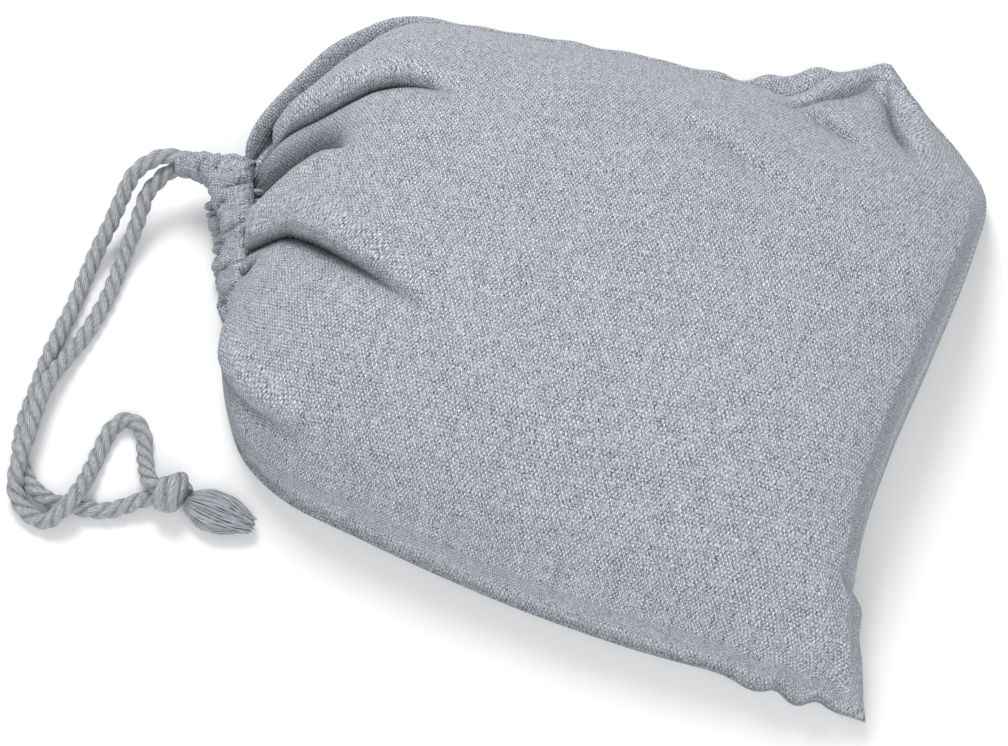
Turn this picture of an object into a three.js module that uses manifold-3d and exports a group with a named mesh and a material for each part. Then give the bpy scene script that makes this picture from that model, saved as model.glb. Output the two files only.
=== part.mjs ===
// Drawstring laundry bag, filled and lying on its back panel, in millimetres.
// +X runs from the gathered neck to the bottom seam, +Y across the bag, +Z up.
// The origin is under the middle of the bag, on the surface that it lies on.
import * as THREE from 'three';
import { mergeVertices } from 'three/addons/utils/BufferGeometryUtils.js';
import Module from 'manifold-3d';

const wasm = await Module();
wasm.setup();

// Driving dimensions.
const CLOTH = 1.6;              // thickness of the coarse canvas
const GAP = 0.3;                // clearance between pieces that touch
const PILLOW_HEIGHT = 66;       // rise of the front panel above the seam line
const NECK_HALF_HEIGHT = 8;     // half the opening between the two panels at the neck
const CREST = 0.42;             // where the filled bag is highest, as a share of its width
const RIM_SHARE = 0.06;         // width of the back panel's rounded rim, as a share of the bag's
const UPPER_RIM = 8;            // the back panel bulges this far past the upper side's seam
const LOWER_RIM = 2;
const SEAM_HALF_GAP = 2;        // each panel's edge stands this far from the seam line
const THREAD_RADIUS = 0.9;      // one row of stitching, thread and sunk cloth together
const CORD_RADIUS = 3.5;        // three-strand cotton cord
const CASING_RADIUS = 5.4;      // hem channel around the cord
const CASING_BORE = 4.1;
const KNOT_RADIUS = 9.5;
const TASSEL_LENGTH = 34;
const ELBOW = new THREE.Vector3(-199.3, 7.5, 0);  // where the free cord swings
const ELBOW_RADIUS = 8;

const CANVAS_GREY = 0xaeb2b9;
const CORD_GREY = 0xa3a6ab;
const THREAD_GREY = 0xb4b8be;
const LOAD_GREY = 0xc9c6c0;

const bag = new THREE.Group();

function addPiece(name, geometry, colour, roughness) {
  const material = new THREE.MeshStandardMaterial({ color: colour, roughness, metalness: 0 });
  const mesh = new THREE.Mesh(geometry, material);
  mesh.name = name;
  bag.add(mesh);
  return mesh;
}

// Seam line of the sewn bag, seen from above, with its height.
const upperSide = curve([
  [-157, 24, 20], [-152, 50, 24], [-140, 76, 22], [-124, 104, 18], [-104, 123, 16],
  [-58, 128, 15], [10, 131, 15], [64, 132, 13], [100, 144, 10], [130, 165, 5],
]);
const lowerSide = curve([
  [-138, -46, 18], [-140, -66, 18], [-134, -87, 18], [-120, -110, 18], [-97, -125, 18],
  [-58, -135, 20], [12, -149, 19], [72, -156, 16], [118, -158, 10], [178, -166, 4],
]);
const neckLine = curve([
  [-138, -46, 18], [-141, -30, 18], [-147, -14, 18], [-153, 2, 19], [-157, 24, 20],
]);
const bottomEdge = curve([
  [178, -166, 4], [164, -124, 9], [161, -88, 12], [166, -44, 13], [175, 2, 13],
  [186, 66, 12], [187, 98, 10], [172, 120, 8], [150, 141, 7], [130, 165, 5],
]);

function curve(points) {
  return new THREE.CatmullRomCurve3(points.map((p) => new THREE.Vector3(...p)), false, 'centripetal');
}

// Point of the seam surface: u from neck to bottom, v from the lower to the upper side.
function seamPoint(u, v) {
  const point = new THREE.Vector3();
  point.addScaledVector(lowerSide.getPointAt(u), 1 - v);
  point.addScaledVector(upperSide.getPointAt(u), v);
  point.addScaledVector(neckLine.getPointAt(v), 1 - u);
  point.addScaledVector(bottomEdge.getPointAt(v), u);
  point.addScaledVector(neckLine.getPointAt(0), -(1 - u) * (1 - v));
  point.addScaledVector(neckLine.getPointAt(1), -(1 - u) * v);
  point.addScaledVector(bottomEdge.getPointAt(0), -u * (1 - v));
  point.addScaledVector(bottomEdge.getPointAt(1), -u * v);
  return point;
}

function smooth(t) {
  const s = THREE.MathUtils.clamp(t, 0, 1);
  return s * s * (3 - 2 * s);
}

// Fullness of the front panel across the bag: steep on the lower side, sloping on the upper side.
function across(v) {
  if (v < CREST) {
    return (1 - ((CREST - v) / CREST) ** 2.6) ** (1 / 2.6);
  }
  return (1 - ((v - CREST) / (1 - CREST)) ** 2.8) ** 0.75;
}

// Fullness along the bag: it drops steeply to the bottom seam, and slopes to the upper corner.
function along(u, v) {
  const corner = smooth((v - 0.55) / 0.4);
  const power = THREE.MathUtils.lerp(5, 4, corner);
  const fall = THREE.MathUtils.lerp(0.2, 0.8, corner);
  return (1 - u ** power) ** fall;
}

function frontPoint(u, v) {
  const point = seamPoint(u, v);
  const rise = THREE.MathUtils.lerp(NECK_HALF_HEIGHT, PILLOW_HEIGHT, smooth(u / 0.36));
  point.z += SEAM_HALF_GAP + rise * across(v) * along(u, v);
  return point;
}

// Half-round rim of the back panel, from the seam down to the surface that it lies on.
function rimHeight(t) {
  return t < 1 ? (1 + Math.cos(Math.PI * t)) / 2 : 0;
}

function backPoint(u, v) {
  const edgeShare = Math.min(v, 1 - v) / RIM_SHARE;
  const inner = THREE.MathUtils.clamp((v - RIM_SHARE) / (1 - 2 * RIM_SHARE), 0, 1);
  const point = seamPoint(u, inner);
  const edge = point.z - SEAM_HALF_GAP;
  const neck = edge - NECK_HALF_HEIGHT * Math.sin(Math.PI * v) ** 0.6;
  const resting = edge * Math.max(rimHeight(edgeShare), rimHeight((1 - u) / RIM_SHARE));
  point.z = THREE.MathUtils.lerp(neck, resting, smooth(u / 0.16));
  if (edgeShare < 1) {
    const bulge = (v < 0.5 ? -LOWER_RIM : UPPER_RIM) * Math.sin(Math.PI * edgeShare);
    point.y += bulge * Math.sin(Math.PI * u) ** 0.4;
  }
  return point;
}

// Grid parameters crowd towards the edges, where the surface curves most.
const STATIONS = 26;
const RIBS = 20;
const stationAt = (i) => 0.5 * (i / STATIONS) + 0.5 * Math.sin((Math.PI / 2) * (i / STATIONS)) ** 1.4;
const ribAt = (j) => 0.5 - 0.5 * Math.cos(Math.PI * (j / RIBS));

// A grid of points, one row for each station.
function pointGrid(surface, stations, ribs, stationOf, ribOf) {
  const grid = [];
  for (let i = 0; i <= stations; i += 1) {
    const row = [];
    for (let j = 0; j <= ribs; j += 1) {
      row.push(surface(stationOf(i), ribOf(j)));
    }
    grid.push(row);
  }
  return grid;
}

function gridNormal(grid, i, j, up) {
  const last = grid.length - 1;
  const end = grid[0].length - 1;
  const du = new THREE.Vector3().subVectors(grid[Math.min(i + 1, last)][j], grid[Math.max(i - 1, 0)][j]);
  const dv = new THREE.Vector3().subVectors(grid[i][Math.min(j + 1, end)], grid[i][Math.max(j - 1, 0)]);
  return du.cross(dv).normalize().multiplyScalar(up);
}

// Closed body between two grids of the same size; the outer one faces up if up is 1.
function slabGeometry(outer, inner, up) {
  const rows = outer.length;
  const columns = outer[0].length;
  const positions = [];
  for (const grid of [outer, inner]) {
    grid.flat().forEach((p) => positions.push(p.x, p.y, p.z));
  }
  const index = [];
  const id = (layer, i, j) => layer * rows * columns + i * columns + j;
  const quad = (a, b, c, d) => {
    index.push(...(up > 0 ? [a, b, c, a, c, d] : [a, c, b, a, d, c]));
  };
  for (let i = 0; i < rows - 1; i += 1) {
    for (let j = 0; j < columns - 1; j += 1) {
      quad(id(0, i, j), id(0, i + 1, j), id(0, i + 1, j + 1), id(0, i, j + 1));
      quad(id(1, i, j), id(1, i, j + 1), id(1, i + 1, j + 1), id(1, i + 1, j));
    }
  }
  for (let i = 0; i < rows - 1; i += 1) {
    const j = columns - 1;
    quad(id(0, i, 0), id(1, i, 0), id(1, i + 1, 0), id(0, i + 1, 0));
    quad(id(0, i, j), id(0, i + 1, j), id(1, i + 1, j), id(1, i, j));
  }
  for (let j = 0; j < columns - 1; j += 1) {
    const i = rows - 1;
    quad(id(0, 0, j), id(0, 0, j + 1), id(1, 0, j + 1), id(1, 0, j));
    quad(id(0, i, j), id(1, i, j), id(1, i, j + 1), id(0, i, j + 1));
  }
  const geometry = new THREE.BufferGeometry();
  geometry.setAttribute('position', new THREE.Float32BufferAttribute(positions, 3));
  geometry.setIndex(index);
  return geometry;
}

// A thin panel: its outer face is the surface, and the cloth's thickness goes inwards.
function panelGeometry(surface, up) {
  const outer = pointGrid(surface, STATIONS, RIBS, stationAt, ribAt);
  const inner = outer.map((row, i) => row.map((point, j) => (
    point.clone().addScaledVector(gridNormal(outer, i, j, up), -CLOTH)
  )));
  return slabGeometry(outer, inner, up);
}

addPiece('front_panel', panelGeometry(frontPoint, 1), CANVAS_GREY, 0.95);
addPiece('back_panel', panelGeometry(backPoint, -1), CANVAS_GREY, 0.95);

// Folded laundry that fills the bag: a stack of soft layers inside the two panels.
const LOAD_NAMES = ['laundry_bundle_lower', 'laundry_bundle_middle', 'laundry_bundle_upper'];
const LOAD_BASE = 3;
const LOAD_STEP = 22;
const LOAD_CLEARANCE = 4.5;
const LOAD_THINNEST = 2.5;     // each bundle's thickness at its rounded edges
const LOAD_STATIONS = 12;
const LOAD_RIBS = 10;

function loadGeometry(layer) {
  const stationOf = (i) => THREE.MathUtils.lerp(0.19, 0.93, i / LOAD_STATIONS);
  const ribOf = (j) => THREE.MathUtils.lerp(0.075, 0.925, ribFraction(j));
  const floor = LOAD_BASE + layer * LOAD_STEP;
  const ceiling = floor + LOAD_STEP - GAP;
  const room = LOAD_CLEARANCE + LOAD_THINNEST * (LOAD_NAMES.length - 1 - layer);
  const top = (u, v) => {
    const point = frontPoint(u, v);
    point.z = Math.min(ceiling, point.z - room);
    return point;
  };
  const base = (u, v) => {
    const point = top(u, v);
    point.z = Math.min(floor, point.z - LOAD_THINNEST + GAP);
    return point;
  };
  const upper = pointGrid(top, LOAD_STATIONS, LOAD_RIBS, stationOf, ribOf);
  const lower = pointGrid(base, LOAD_STATIONS, LOAD_RIBS, stationOf, ribOf);
  return slabGeometry(upper, lower, 1);
}

function ribFraction(j) {
  return 0.5 - 0.5 * Math.cos(Math.PI * (j / LOAD_RIBS));
}

LOAD_NAMES.forEach((name, layer) => addPiece(name, loadGeometry(layer), LOAD_GREY, 0.9));

// Round or ring-shaped section swept along a curve.
function tube(path, radius, steps, sides, bore = 0) {
  const ring = (r) => Array.from({ length: sides }, (_, k) => {
    const angle = (2 * Math.PI * k) / sides;
    return new THREE.Vector2(r * Math.cos(angle), r * Math.sin(angle));
  });
  const section = new THREE.Shape(ring(radius));
  if (bore > 0) {
    section.holes.push(new THREE.Path(ring(bore).reverse()));
  }
  return new THREE.ExtrudeGeometry(section, { steps, extrudePath: path, bevelEnabled: false });
}

// Rows of stitching along the seams, just outside the panels' edges.
function seamThread(line, outward) {
  const points = [];
  for (let k = 1; k < 20; k += 1) {
    const point = line.getPointAt(k / 20);
    const tangent = line.getTangentAt(k / 20);
    const side = new THREE.Vector3(-tangent.y, tangent.x, 0).normalize();
    points.push(point.addScaledVector(side, outward * (THREAD_RADIUS + GAP)));
  }
  return tube(new THREE.CatmullRomCurve3(points), THREAD_RADIUS, 32, 5);
}

addPiece('side_stitching_upper', seamThread(upperSide, 1), THREAD_GREY, 0.9);
addPiece('side_stitching_lower', seamThread(lowerSide, -1), THREAD_GREY, 0.9);
addPiece('bottom_stitching', seamThread(bottomEdge, -1), THREAD_GREY, 0.9);

// The drawcord's hidden run: in along the front hem, round the far end, back along the rear hem.
const frontHemPoints = [
  [-168, 16, 28.5], [-165.5, 11, 28.5], [-162, 2, 28], [-157, -9, 27.5],
  [-152, -22, 26.5], [-148.5, -34, 25], [-146.5, -43, 22],
];
const backHemPoints = [
  [-146.5, -45, 12], [-148.5, -36, 9.5], [-152, -24, 9],
  [-157, -11, 9], [-162, 0, 9.5], [-166, 8, 12.5],
];
const hemTurn = [[-146, -49.5, 16.5]];
const intoFront = [[-171, 18.3, 28.5], [-170, 18.2, 28.5]];
const outOfBack = [[-167.2, 12.6, 16.5], [-168.6, 15, 19.8], [-170, 15.8, 20.9], [-171, 15.9, 21]];

addPiece('casing_cord', tube(
  curve([...intoFront, ...frontHemPoints, ...hemTurn, ...backHemPoints, ...outOfBack]),
  CORD_RADIUS, 40, 8,
), CORD_GREY, 0.95);

function casing(points) {
  return tube(curve(points), CASING_RADIUS, 12, 12, CASING_BORE);
}

addPiece('front_casing', casing(frontHemPoints.slice(1)), CANVAS_GREY, 0.95);
addPiece('back_casing', casing(backHemPoints), CANVAS_GREY, 0.95);

// A row of stitching closes each hem, on the casing's outer face.
function hemThread(points, height) {
  const raised = points.map(([x, y, z]) => [x, y, z + height]);
  return tube(curve(raised), THREAD_RADIUS, 14, 5);
}

const HEM_THREAD_OFFSET = CASING_RADIUS + THREAD_RADIUS + GAP;
addPiece('hem_stitching_front', hemThread(frontHemPoints.slice(2), HEM_THREAD_OFFSET), THREAD_GREY, 0.9);
addPiece('hem_stitching_back', hemThread(backHemPoints.slice(0, 5), -HEM_THREAD_OFFSET), THREAD_GREY, 0.9);

// The two halves of the free cord, from the sleeve to the knot.
const upperLeg = [
  [-172.2, 18.3, 28.5], [-180, 18.3, 28.5], [-187, 18.3, 28.5], [-194, 17, 28.5], [-199.5, 13, 28],
  [-205, 6.5, 26], [-207.5, 0, 22.5], [-209.5, -7, 18], [-212, -16, 12.5], [-215, -27, 7.5], [-217, -42, 4.2],
  [-218, -58, 3.6], [-220, -75, 3.6], [-221, -89, 3.6], [-221, -104, 3.6], [-221, -118, 3.6],
  [-219, -131, 3.6], [-216, -138.5, 3.6], [-210.5, -146, 3.6], [-205, -150, 3.6], [-198, -153, 3.6],
  [-187, -153.5, 3.6], [-174, -152.5, 3.6], [-167, -150, 4], [-160.5, -146, 5.2], [-154, -142.5, 6.5],
  [-147, -139.5, 7.5],
];
const lowerLeg = [
  [-172.2, 15.9, 21], [-180, 15.9, 21], [-187, 15.9, 21], [-191.8, 12.6, 21], [-195.2, 7.4, 20],
  [-198, 2.5, 18.5], [-199.5, -6, 14.5], [-200.5, -14, 10.5], [-202, -23, 7], [-203, -36, 4.2], [-204, -50, 3.6],
  [-206, -62, 3.6], [-209, -74, 4], [-212, -84, 5.5], [-214.5, -94, 8], [-216, -106, 9.9],
  [-215.5, -118, 10.6], [-215, -129, 11], [-215, -139, 11.1], [-214.5, -146, 10.2], [-213, -153.5, 6.4],
  [-206, -161, 3.6], [-196, -163.5, 4.2], [-190.5, -160, 8], [-186.5, -154, 11.1], [-184.5, -147, 9.6],
  [-184, -137, 5.2], [-183, -125, 3.6], [-181.5, -114, 3.6], [-177, -107.5, 3.6], [-171, -107.5, 3.6],
  [-166, -112.5, 3.6], [-163, -120.5, 4.4], [-159, -129, 8], [-154, -136.5, 12], [-148, -138.5, 12.5],
];
const KNOT = new THREE.Vector3(-144, -138, 10);

function toSolid(geometry) {
  const bare = geometry.clone();
  bare.deleteAttribute('normal');
  bare.deleteAttribute('uv');
  const merged = mergeVertices(bare, 1e-4);
  return new wasm.Manifold(new wasm.Mesh({
    numProp: 3,
    vertProperties: Float32Array.from(merged.attributes.position.array),
    triVerts: Uint32Array.from(merged.index.array),
  }));
}

function toGeometry(solid) {
  const mesh = solid.getMesh();
  const geometry = new THREE.BufferGeometry();
  geometry.setAttribute('position', new THREE.BufferAttribute(Float32Array.from(mesh.vertProperties), 3));
  geometry.setIndex(new THREE.BufferAttribute(Uint32Array.from(mesh.triVerts), 1));
  return geometry;
}

// A disc about the elbow separates the held stretch of the cord from the stretch that swings.
const ZONE_HEIGHT = 80;
const ZONE_LENGTH = 700;

function elbowDisc(radius) {
  const disc = new THREE.CylinderGeometry(radius, radius, ZONE_HEIGHT, 32);
  return toSolid(disc.rotateX(Math.PI / 2).translate(ELBOW.x, ELBOW.y, 0));
}

function elbowSide(direction) {
  const half = new THREE.BoxGeometry(ZONE_LENGTH, ZONE_LENGTH, ZONE_HEIGHT);
  half.translate((direction * ZONE_LENGTH) / 2, 0, 0).rotateZ(Math.PI / 4);
  return toSolid(half.translate(ELBOW.x, ELBOW.y, 0));
}

const heldZone = elbowSide(1).add(elbowDisc(ELBOW_RADIUS));
const swingZone = elbowSide(-1).subtract(elbowDisc(ELBOW_RADIUS + GAP));
const knotBall = new THREE.SphereGeometry(KNOT_RADIUS + GAP, 20, 14);
const knotRoom = toSolid(knotBall.translate(KNOT.x, KNOT.y, KNOT.z));

[['upper', upperLeg], ['lower', lowerLeg]].forEach(([side, points]) => {
  const held = toSolid(tube(curve(points.slice(0, 9)), CORD_RADIUS, 16, 8));
  addPiece(`cord_root_${side}`, toGeometry(held.intersect(heldZone)), CORD_GREY, 0.95);
  const free = toSolid(tube(curve(points.slice(2)), CORD_RADIUS, 40, 8));
  addPiece(`cord_leg_${side}`, toGeometry(free.intersect(swingZone).subtract(knotRoom)), CORD_GREY, 0.95);
});

// Sleeve: the bunched end of both hems, with a hole for each half of the cord.
const SLEEVE_START = -187;
const SLEEVE_LENGTH = 15;
const SLEEVE_RADIUS = 5.3;
const SLEEVE_BORE = 3.9;
const exits = [upperLeg[1], lowerLeg[1]].map(([, y, z]) => new THREE.Vector2(y, z));
const sleeveAxis = new THREE.Vector2().subVectors(exits[0], exits[1]).angle();
const sleeveOutline = new THREE.Shape();
exits.forEach(({ x, y }, k) => {
  const start = sleeveAxis + Math.PI * (k - 0.5);
  sleeveOutline.absarc(x, y, SLEEVE_RADIUS, start, start + Math.PI);
});
const sleeveBody = new THREE.ExtrudeGeometry(sleeveOutline, {
  depth: SLEEVE_LENGTH, bevelEnabled: false, curveSegments: 8,
});
// The outline is drawn in Y and Z, so its depth turns to run along X.
const toYZ = new THREE.Matrix4().set(0, 0, 1, SLEEVE_START, 1, 0, 0, 0, 0, 1, 0, 0, 0, 0, 0, 1);
let sleeve = toSolid(sleeveBody.applyMatrix4(toYZ));
exits.forEach((exit) => {
  const bore = new THREE.CylinderGeometry(SLEEVE_BORE, SLEEVE_BORE, SLEEVE_LENGTH * 3, 16);
  bore.rotateZ(Math.PI / 2).translate(SLEEVE_START, exit.x, exit.y);
  sleeve = sleeve.subtract(toSolid(bore));
});
addPiece('cord_exit_sleeve', toGeometry(sleeve), CANVAS_GREY, 0.95);

// End knot and the frayed tassel below it.
const knot = new THREE.SphereGeometry(KNOT_RADIUS, 18, 12).translate(KNOT.x, KNOT.y, KNOT.z);
addPiece('end_knot', knot, CORD_GREY, 0.95);

const TASSEL_TURN = THREE.MathUtils.degToRad(-12);
const tassel = new THREE.CylinderGeometry(10, 5, TASSEL_LENGTH, 20, 2);
tassel.rotateZ(-Math.PI / 2).translate(KNOT_RADIUS + 0.5 + TASSEL_LENGTH / 2, 0, 0);
tassel.scale(1, 1, 0.5).rotateZ(TASSEL_TURN).translate(KNOT.x, KNOT.y, 5.4);
addPiece('tassel', tassel, CORD_GREY, 0.95);

export default bag;
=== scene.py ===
"""Filled drawstring laundry bag: canvas panels, gathered hems, twisted cord, knot and tassel."""
import math
from collections import namedtuple

import bpy
import numpy as np
from bpy.props import FloatProperty, FloatVectorProperty, IntProperty, PointerProperty
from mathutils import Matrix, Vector


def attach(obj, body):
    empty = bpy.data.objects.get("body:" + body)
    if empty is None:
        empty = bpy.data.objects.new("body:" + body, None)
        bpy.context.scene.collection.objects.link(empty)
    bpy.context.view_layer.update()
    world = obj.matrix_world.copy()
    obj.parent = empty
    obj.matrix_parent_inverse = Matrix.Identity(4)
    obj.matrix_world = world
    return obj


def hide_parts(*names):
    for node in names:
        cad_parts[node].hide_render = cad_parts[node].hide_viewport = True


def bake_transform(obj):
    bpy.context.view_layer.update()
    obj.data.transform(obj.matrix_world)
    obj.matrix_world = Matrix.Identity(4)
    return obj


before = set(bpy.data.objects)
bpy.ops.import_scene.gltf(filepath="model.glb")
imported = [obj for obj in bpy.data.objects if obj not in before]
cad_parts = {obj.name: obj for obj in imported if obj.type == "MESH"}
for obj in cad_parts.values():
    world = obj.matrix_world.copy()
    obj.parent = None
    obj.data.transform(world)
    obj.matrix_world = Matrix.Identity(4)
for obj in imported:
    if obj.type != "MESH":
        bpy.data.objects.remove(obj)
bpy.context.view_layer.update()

bl_info = {
    "name": "Drawstring laundry bag",
    "version": (1, 0, 0),
    "blender": (4, 5, 0),
    "location": "View3D > Sidebar > Laundry Bag",
    "description": "Builds a filled canvas laundry bag with its drawcord, knot and tassel",
    "category": "Add Mesh",
}

MM = 0.001


# ---------------------------------------------------------------------------
# Curves and surfaces
# ---------------------------------------------------------------------------

def millimetres(*points):
    """Points given in millimetres, as an array in metres."""
    return np.array(points, float) * MM


def smooth(t):
    t = np.clip(t, 0.0, 1.0)
    return t * t * (3 - 2 * t)


def blend(a, b, t):
    return a + (b - a) * t


class Route:
    """A centripetal Catmull-Rom curve through its points, read by its share of the length."""

    def __init__(self, points, per_span=30):
        p = np.asarray(points, float)
        p = np.vstack([2 * p[0] - p[1], p, 2 * p[-1] - p[-2]])
        spans = []
        for a, b, c, d in zip(p[:-3], p[1:-2], p[2:-1], p[3:]):
            spans.append(self.span(a, b, c, d, per_span))
        self.samples = np.vstack(spans + [p[-2:-1]])
        steps = np.linalg.norm(np.diff(self.samples, axis=0), axis=1)
        self.reach = np.concatenate([[0.0], np.cumsum(steps)])
        self.length = self.reach[-1]

    @staticmethod
    def span(a, b, c, d, count):
        knots = [0.0]
        for start, end in ((a, b), (b, c), (c, d)):
            knots.append(knots[-1] + max(np.linalg.norm(end - start), 1e-9) ** 0.5)
        t0, t1, t2, t3 = knots
        t = np.linspace(t1, t2, count, endpoint=False)[:, None]
        ab = (t1 - t) / (t1 - t0) * a + (t - t0) / (t1 - t0) * b
        bc = (t2 - t) / (t2 - t1) * b + (t - t1) / (t2 - t1) * c
        cd = (t3 - t) / (t3 - t2) * c + (t - t2) / (t3 - t2) * d
        abc = (t2 - t) / (t2 - t0) * ab + (t - t0) / (t2 - t0) * bc
        bcd = (t3 - t) / (t3 - t1) * bc + (t - t1) / (t3 - t1) * cd
        return (t2 - t) / (t2 - t1) * abc + (t - t1) / (t2 - t1) * bcd

    def at(self, share):
        wanted = np.asarray(share, float) * self.length
        axes = [np.interp(wanted, self.reach, self.samples[:, k]) for k in range(self.samples.shape[1])]
        return np.stack(axes, -1)


# Seam line of the sewn bag, seen from above, with its height.
UPPER_SIDE = Route(millimetres(
    (-157, 24, 20), (-152, 50, 24), (-140, 76, 22), (-124, 104, 18), (-104, 123, 16),
    (-58, 128, 15), (10, 131, 15), (64, 132, 13), (100, 144, 10), (130, 165, 5)))
LOWER_SIDE = Route(millimetres(
    (-138, -46, 18), (-140, -66, 17), (-134, -88, 15), (-120, -111, 12), (-97, -126, 9),
    (-58, -136, 7), (12, -150, 6), (72, -157, 6), (118, -159, 6), (178, -166, 4)))
NECK_LINE = Route(millimetres(
    (-138, -46, 18), (-139, -30, 18), (-143, -14, 18), (-149, 2, 19), (-157, 24, 20)))
BOTTOM_EDGE = Route(millimetres(
    (178, -166, 4), (164, -124, 9), (161, -88, 12), (166, -44, 13), (175, 2, 13),
    (186, 66, 12), (187, 98, 10), (172, 120, 8), (150, 141, 7), (130, 165, 5)))

NECK_HALF_HEIGHT = 8 * MM
NECK_ROLL_HEIGHT = 15 * MM
LEVEL_SEAM = 18 * MM
CREST = 0.42
RIM_SHARE = 0.06
SEAM_HALF_GAP = 0.12 * MM


def bell(x, middle, width):
    return np.exp(-((x - middle) / width) ** 2)


def ruffle(point, u, v):
    """Waves of the sewn edge: humps and a notch at the lower ear, a dip before the upper ear."""
    x, y = point[..., 0].copy(), point[..., 1].copy()
    lower, upper, bottom = bell(v, 0, 0.06), bell(v, 1, 0.06), bell(u, 1, 0.05)
    humps = bell(x, 0.127, 0.009) + bell(x, 0.147, 0.007)
    dips = bell(x, 0.1375, 0.004) + 1.6 * bell(x, 0.156, 0.005)
    point[..., 1] += lower * (1.8 * dips - 3.0 * humps) * MM
    point[..., 2] += lower * (1.5 * humps - 1.0 * dips) * MM
    step = 3.0 * bell(y, -0.128, 0.007) - 2.6 * bell(y, -0.1175, 0.006) + 1.6 * bell(y, -0.148, 0.012)
    point[..., 0] += bottom * step * MM * bell(v, 0.14, 0.12)
    drawn_in = 5.0 * bell(x, 0.086, 0.011) - 2.5 * bell(x, 0.104, 0.008)
    point[..., 1] -= upper * drawn_in * MM
    point[..., 2] -= upper * (2.0 * bell(x, 0.086, 0.011) - 2.4 * bell(x, 0.104, 0.009)) * MM
    point[..., 2] -= 8 * MM * bell(v, 1, 0.05) * smooth(u / 0.05) * smooth((0.40 - u) / 0.2)
    return point


def seam_point(u, v):
    """Seam surface: u from the neck to the bottom, v from the lower to the upper side."""
    u1, v1 = u[..., None], v[..., None]
    sides = (1 - v1) * LOWER_SIDE.at(u) + v1 * UPPER_SIDE.at(u)
    ends = (1 - u1) * NECK_LINE.at(v) + u1 * BOTTOM_EDGE.at(v)
    neck = (1 - v1) * NECK_LINE.at(0) + v1 * NECK_LINE.at(1)
    bottom = (1 - v1) * BOTTOM_EDGE.at(0) + v1 * BOTTOM_EDGE.at(1)
    return ruffle(sides + ends - (1 - u1) * neck - u1 * bottom, u, v)


def across(v):
    """Fullness across the bag: steep on the lower side, sloping on the upper side."""
    low = (1 - np.clip((CREST - v) / CREST, 0, 1) ** 2.6) ** (1 / 2.6)
    high = (1 - np.clip((v - CREST) / (1 - CREST), 0, 1) ** 2.8) ** 0.75
    return np.where(v < CREST, low, high)


def along(u, v):
    """Fullness along the bag: it drops steeply to the bottom, and slopes to the upper corner."""
    corner = smooth((v - 0.55) / 0.4)
    return (1 - u ** blend(4.6, 4, corner)) ** blend(0.26, 0.8, corner)


def front_surface(u, v, fullness):
    point = seam_point(u, v)
    lowered = (LEVEL_SEAM - LOWER_SIDE.at(u)[..., 2]) * (1 - v)
    rise = blend(NECK_ROLL_HEIGHT, fullness, smooth(u / 0.36)) + lowered
    point[..., 2] += SEAM_HALF_GAP + rise * across(v) * along(u, v)
    return point


def rim_height(t):
    return np.where(t < 1, (1 + np.cos(np.pi * np.clip(t, 0, 1))) / 2, 0.0)


def back_surface(u, v, fullness):
    """The back panel: flat where it rests, with a rim that bulges past the side seams."""
    edge_share = np.minimum(v, 1 - v) / RIM_SHARE
    inner = np.clip((v - RIM_SHARE) / (1 - 2 * RIM_SHARE), 0, 1)
    point = seam_point(u, inner)
    edge = point[..., 2] - SEAM_HALF_GAP
    neck = edge - NECK_HALF_HEIGHT * np.sin(np.pi * v) ** 0.6
    resting = edge * np.maximum(rim_height(edge_share), rim_height((1 - u) / RIM_SHARE))
    point[..., 2] = blend(neck, resting, smooth(u / 0.16))
    on_rim = np.where(edge_share < 1, np.sin(np.pi * np.clip(edge_share, 0, 1)), 0.0)
    swell = np.sin(np.pi * u) ** 0.4
    upper = v > 0.5
    near_neck = smooth(u / 0.04) * smooth((0.40 - u) / 0.2)
    step = 0.002
    ahead = UPPER_SIDE.at(np.minimum(u + step, 1)) - UPPER_SIDE.at(np.maximum(u - step, 0))
    span = np.linalg.norm(ahead[..., :2], axis=-1)
    beside_ear = bell(point[..., 0], 0.088, 0.017)
    bulge = (blend(7.5, 12, near_neck) + 12 * beside_ear) * MM * on_rim * swell
    point[..., 0] -= np.where(upper, bulge * ahead[..., 1] / span, 0)
    point[..., 1] += np.where(upper, bulge * ahead[..., 0] / span, 3.0 * MM * on_rim * swell)
    lifted = 17 * MM * near_neck * np.sin(np.pi * np.clip(edge_share, 0, 1)) * (1 - np.clip(edge_share, 0, 1))
    point[..., 2] += np.where(upper, lifted, 0)
    return point


# ---------------------------------------------------------------------------
# Folds and wrinkles
# ---------------------------------------------------------------------------

# A fold's line is seen from above. Its roll stands on the left of the line's direction,
# and the trough runs out on the right. Places, depths and widths are in millimetres.
Fold = namedtuple("Fold", "line depth trough roll roll_width overhang fade_in fade_out")

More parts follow.
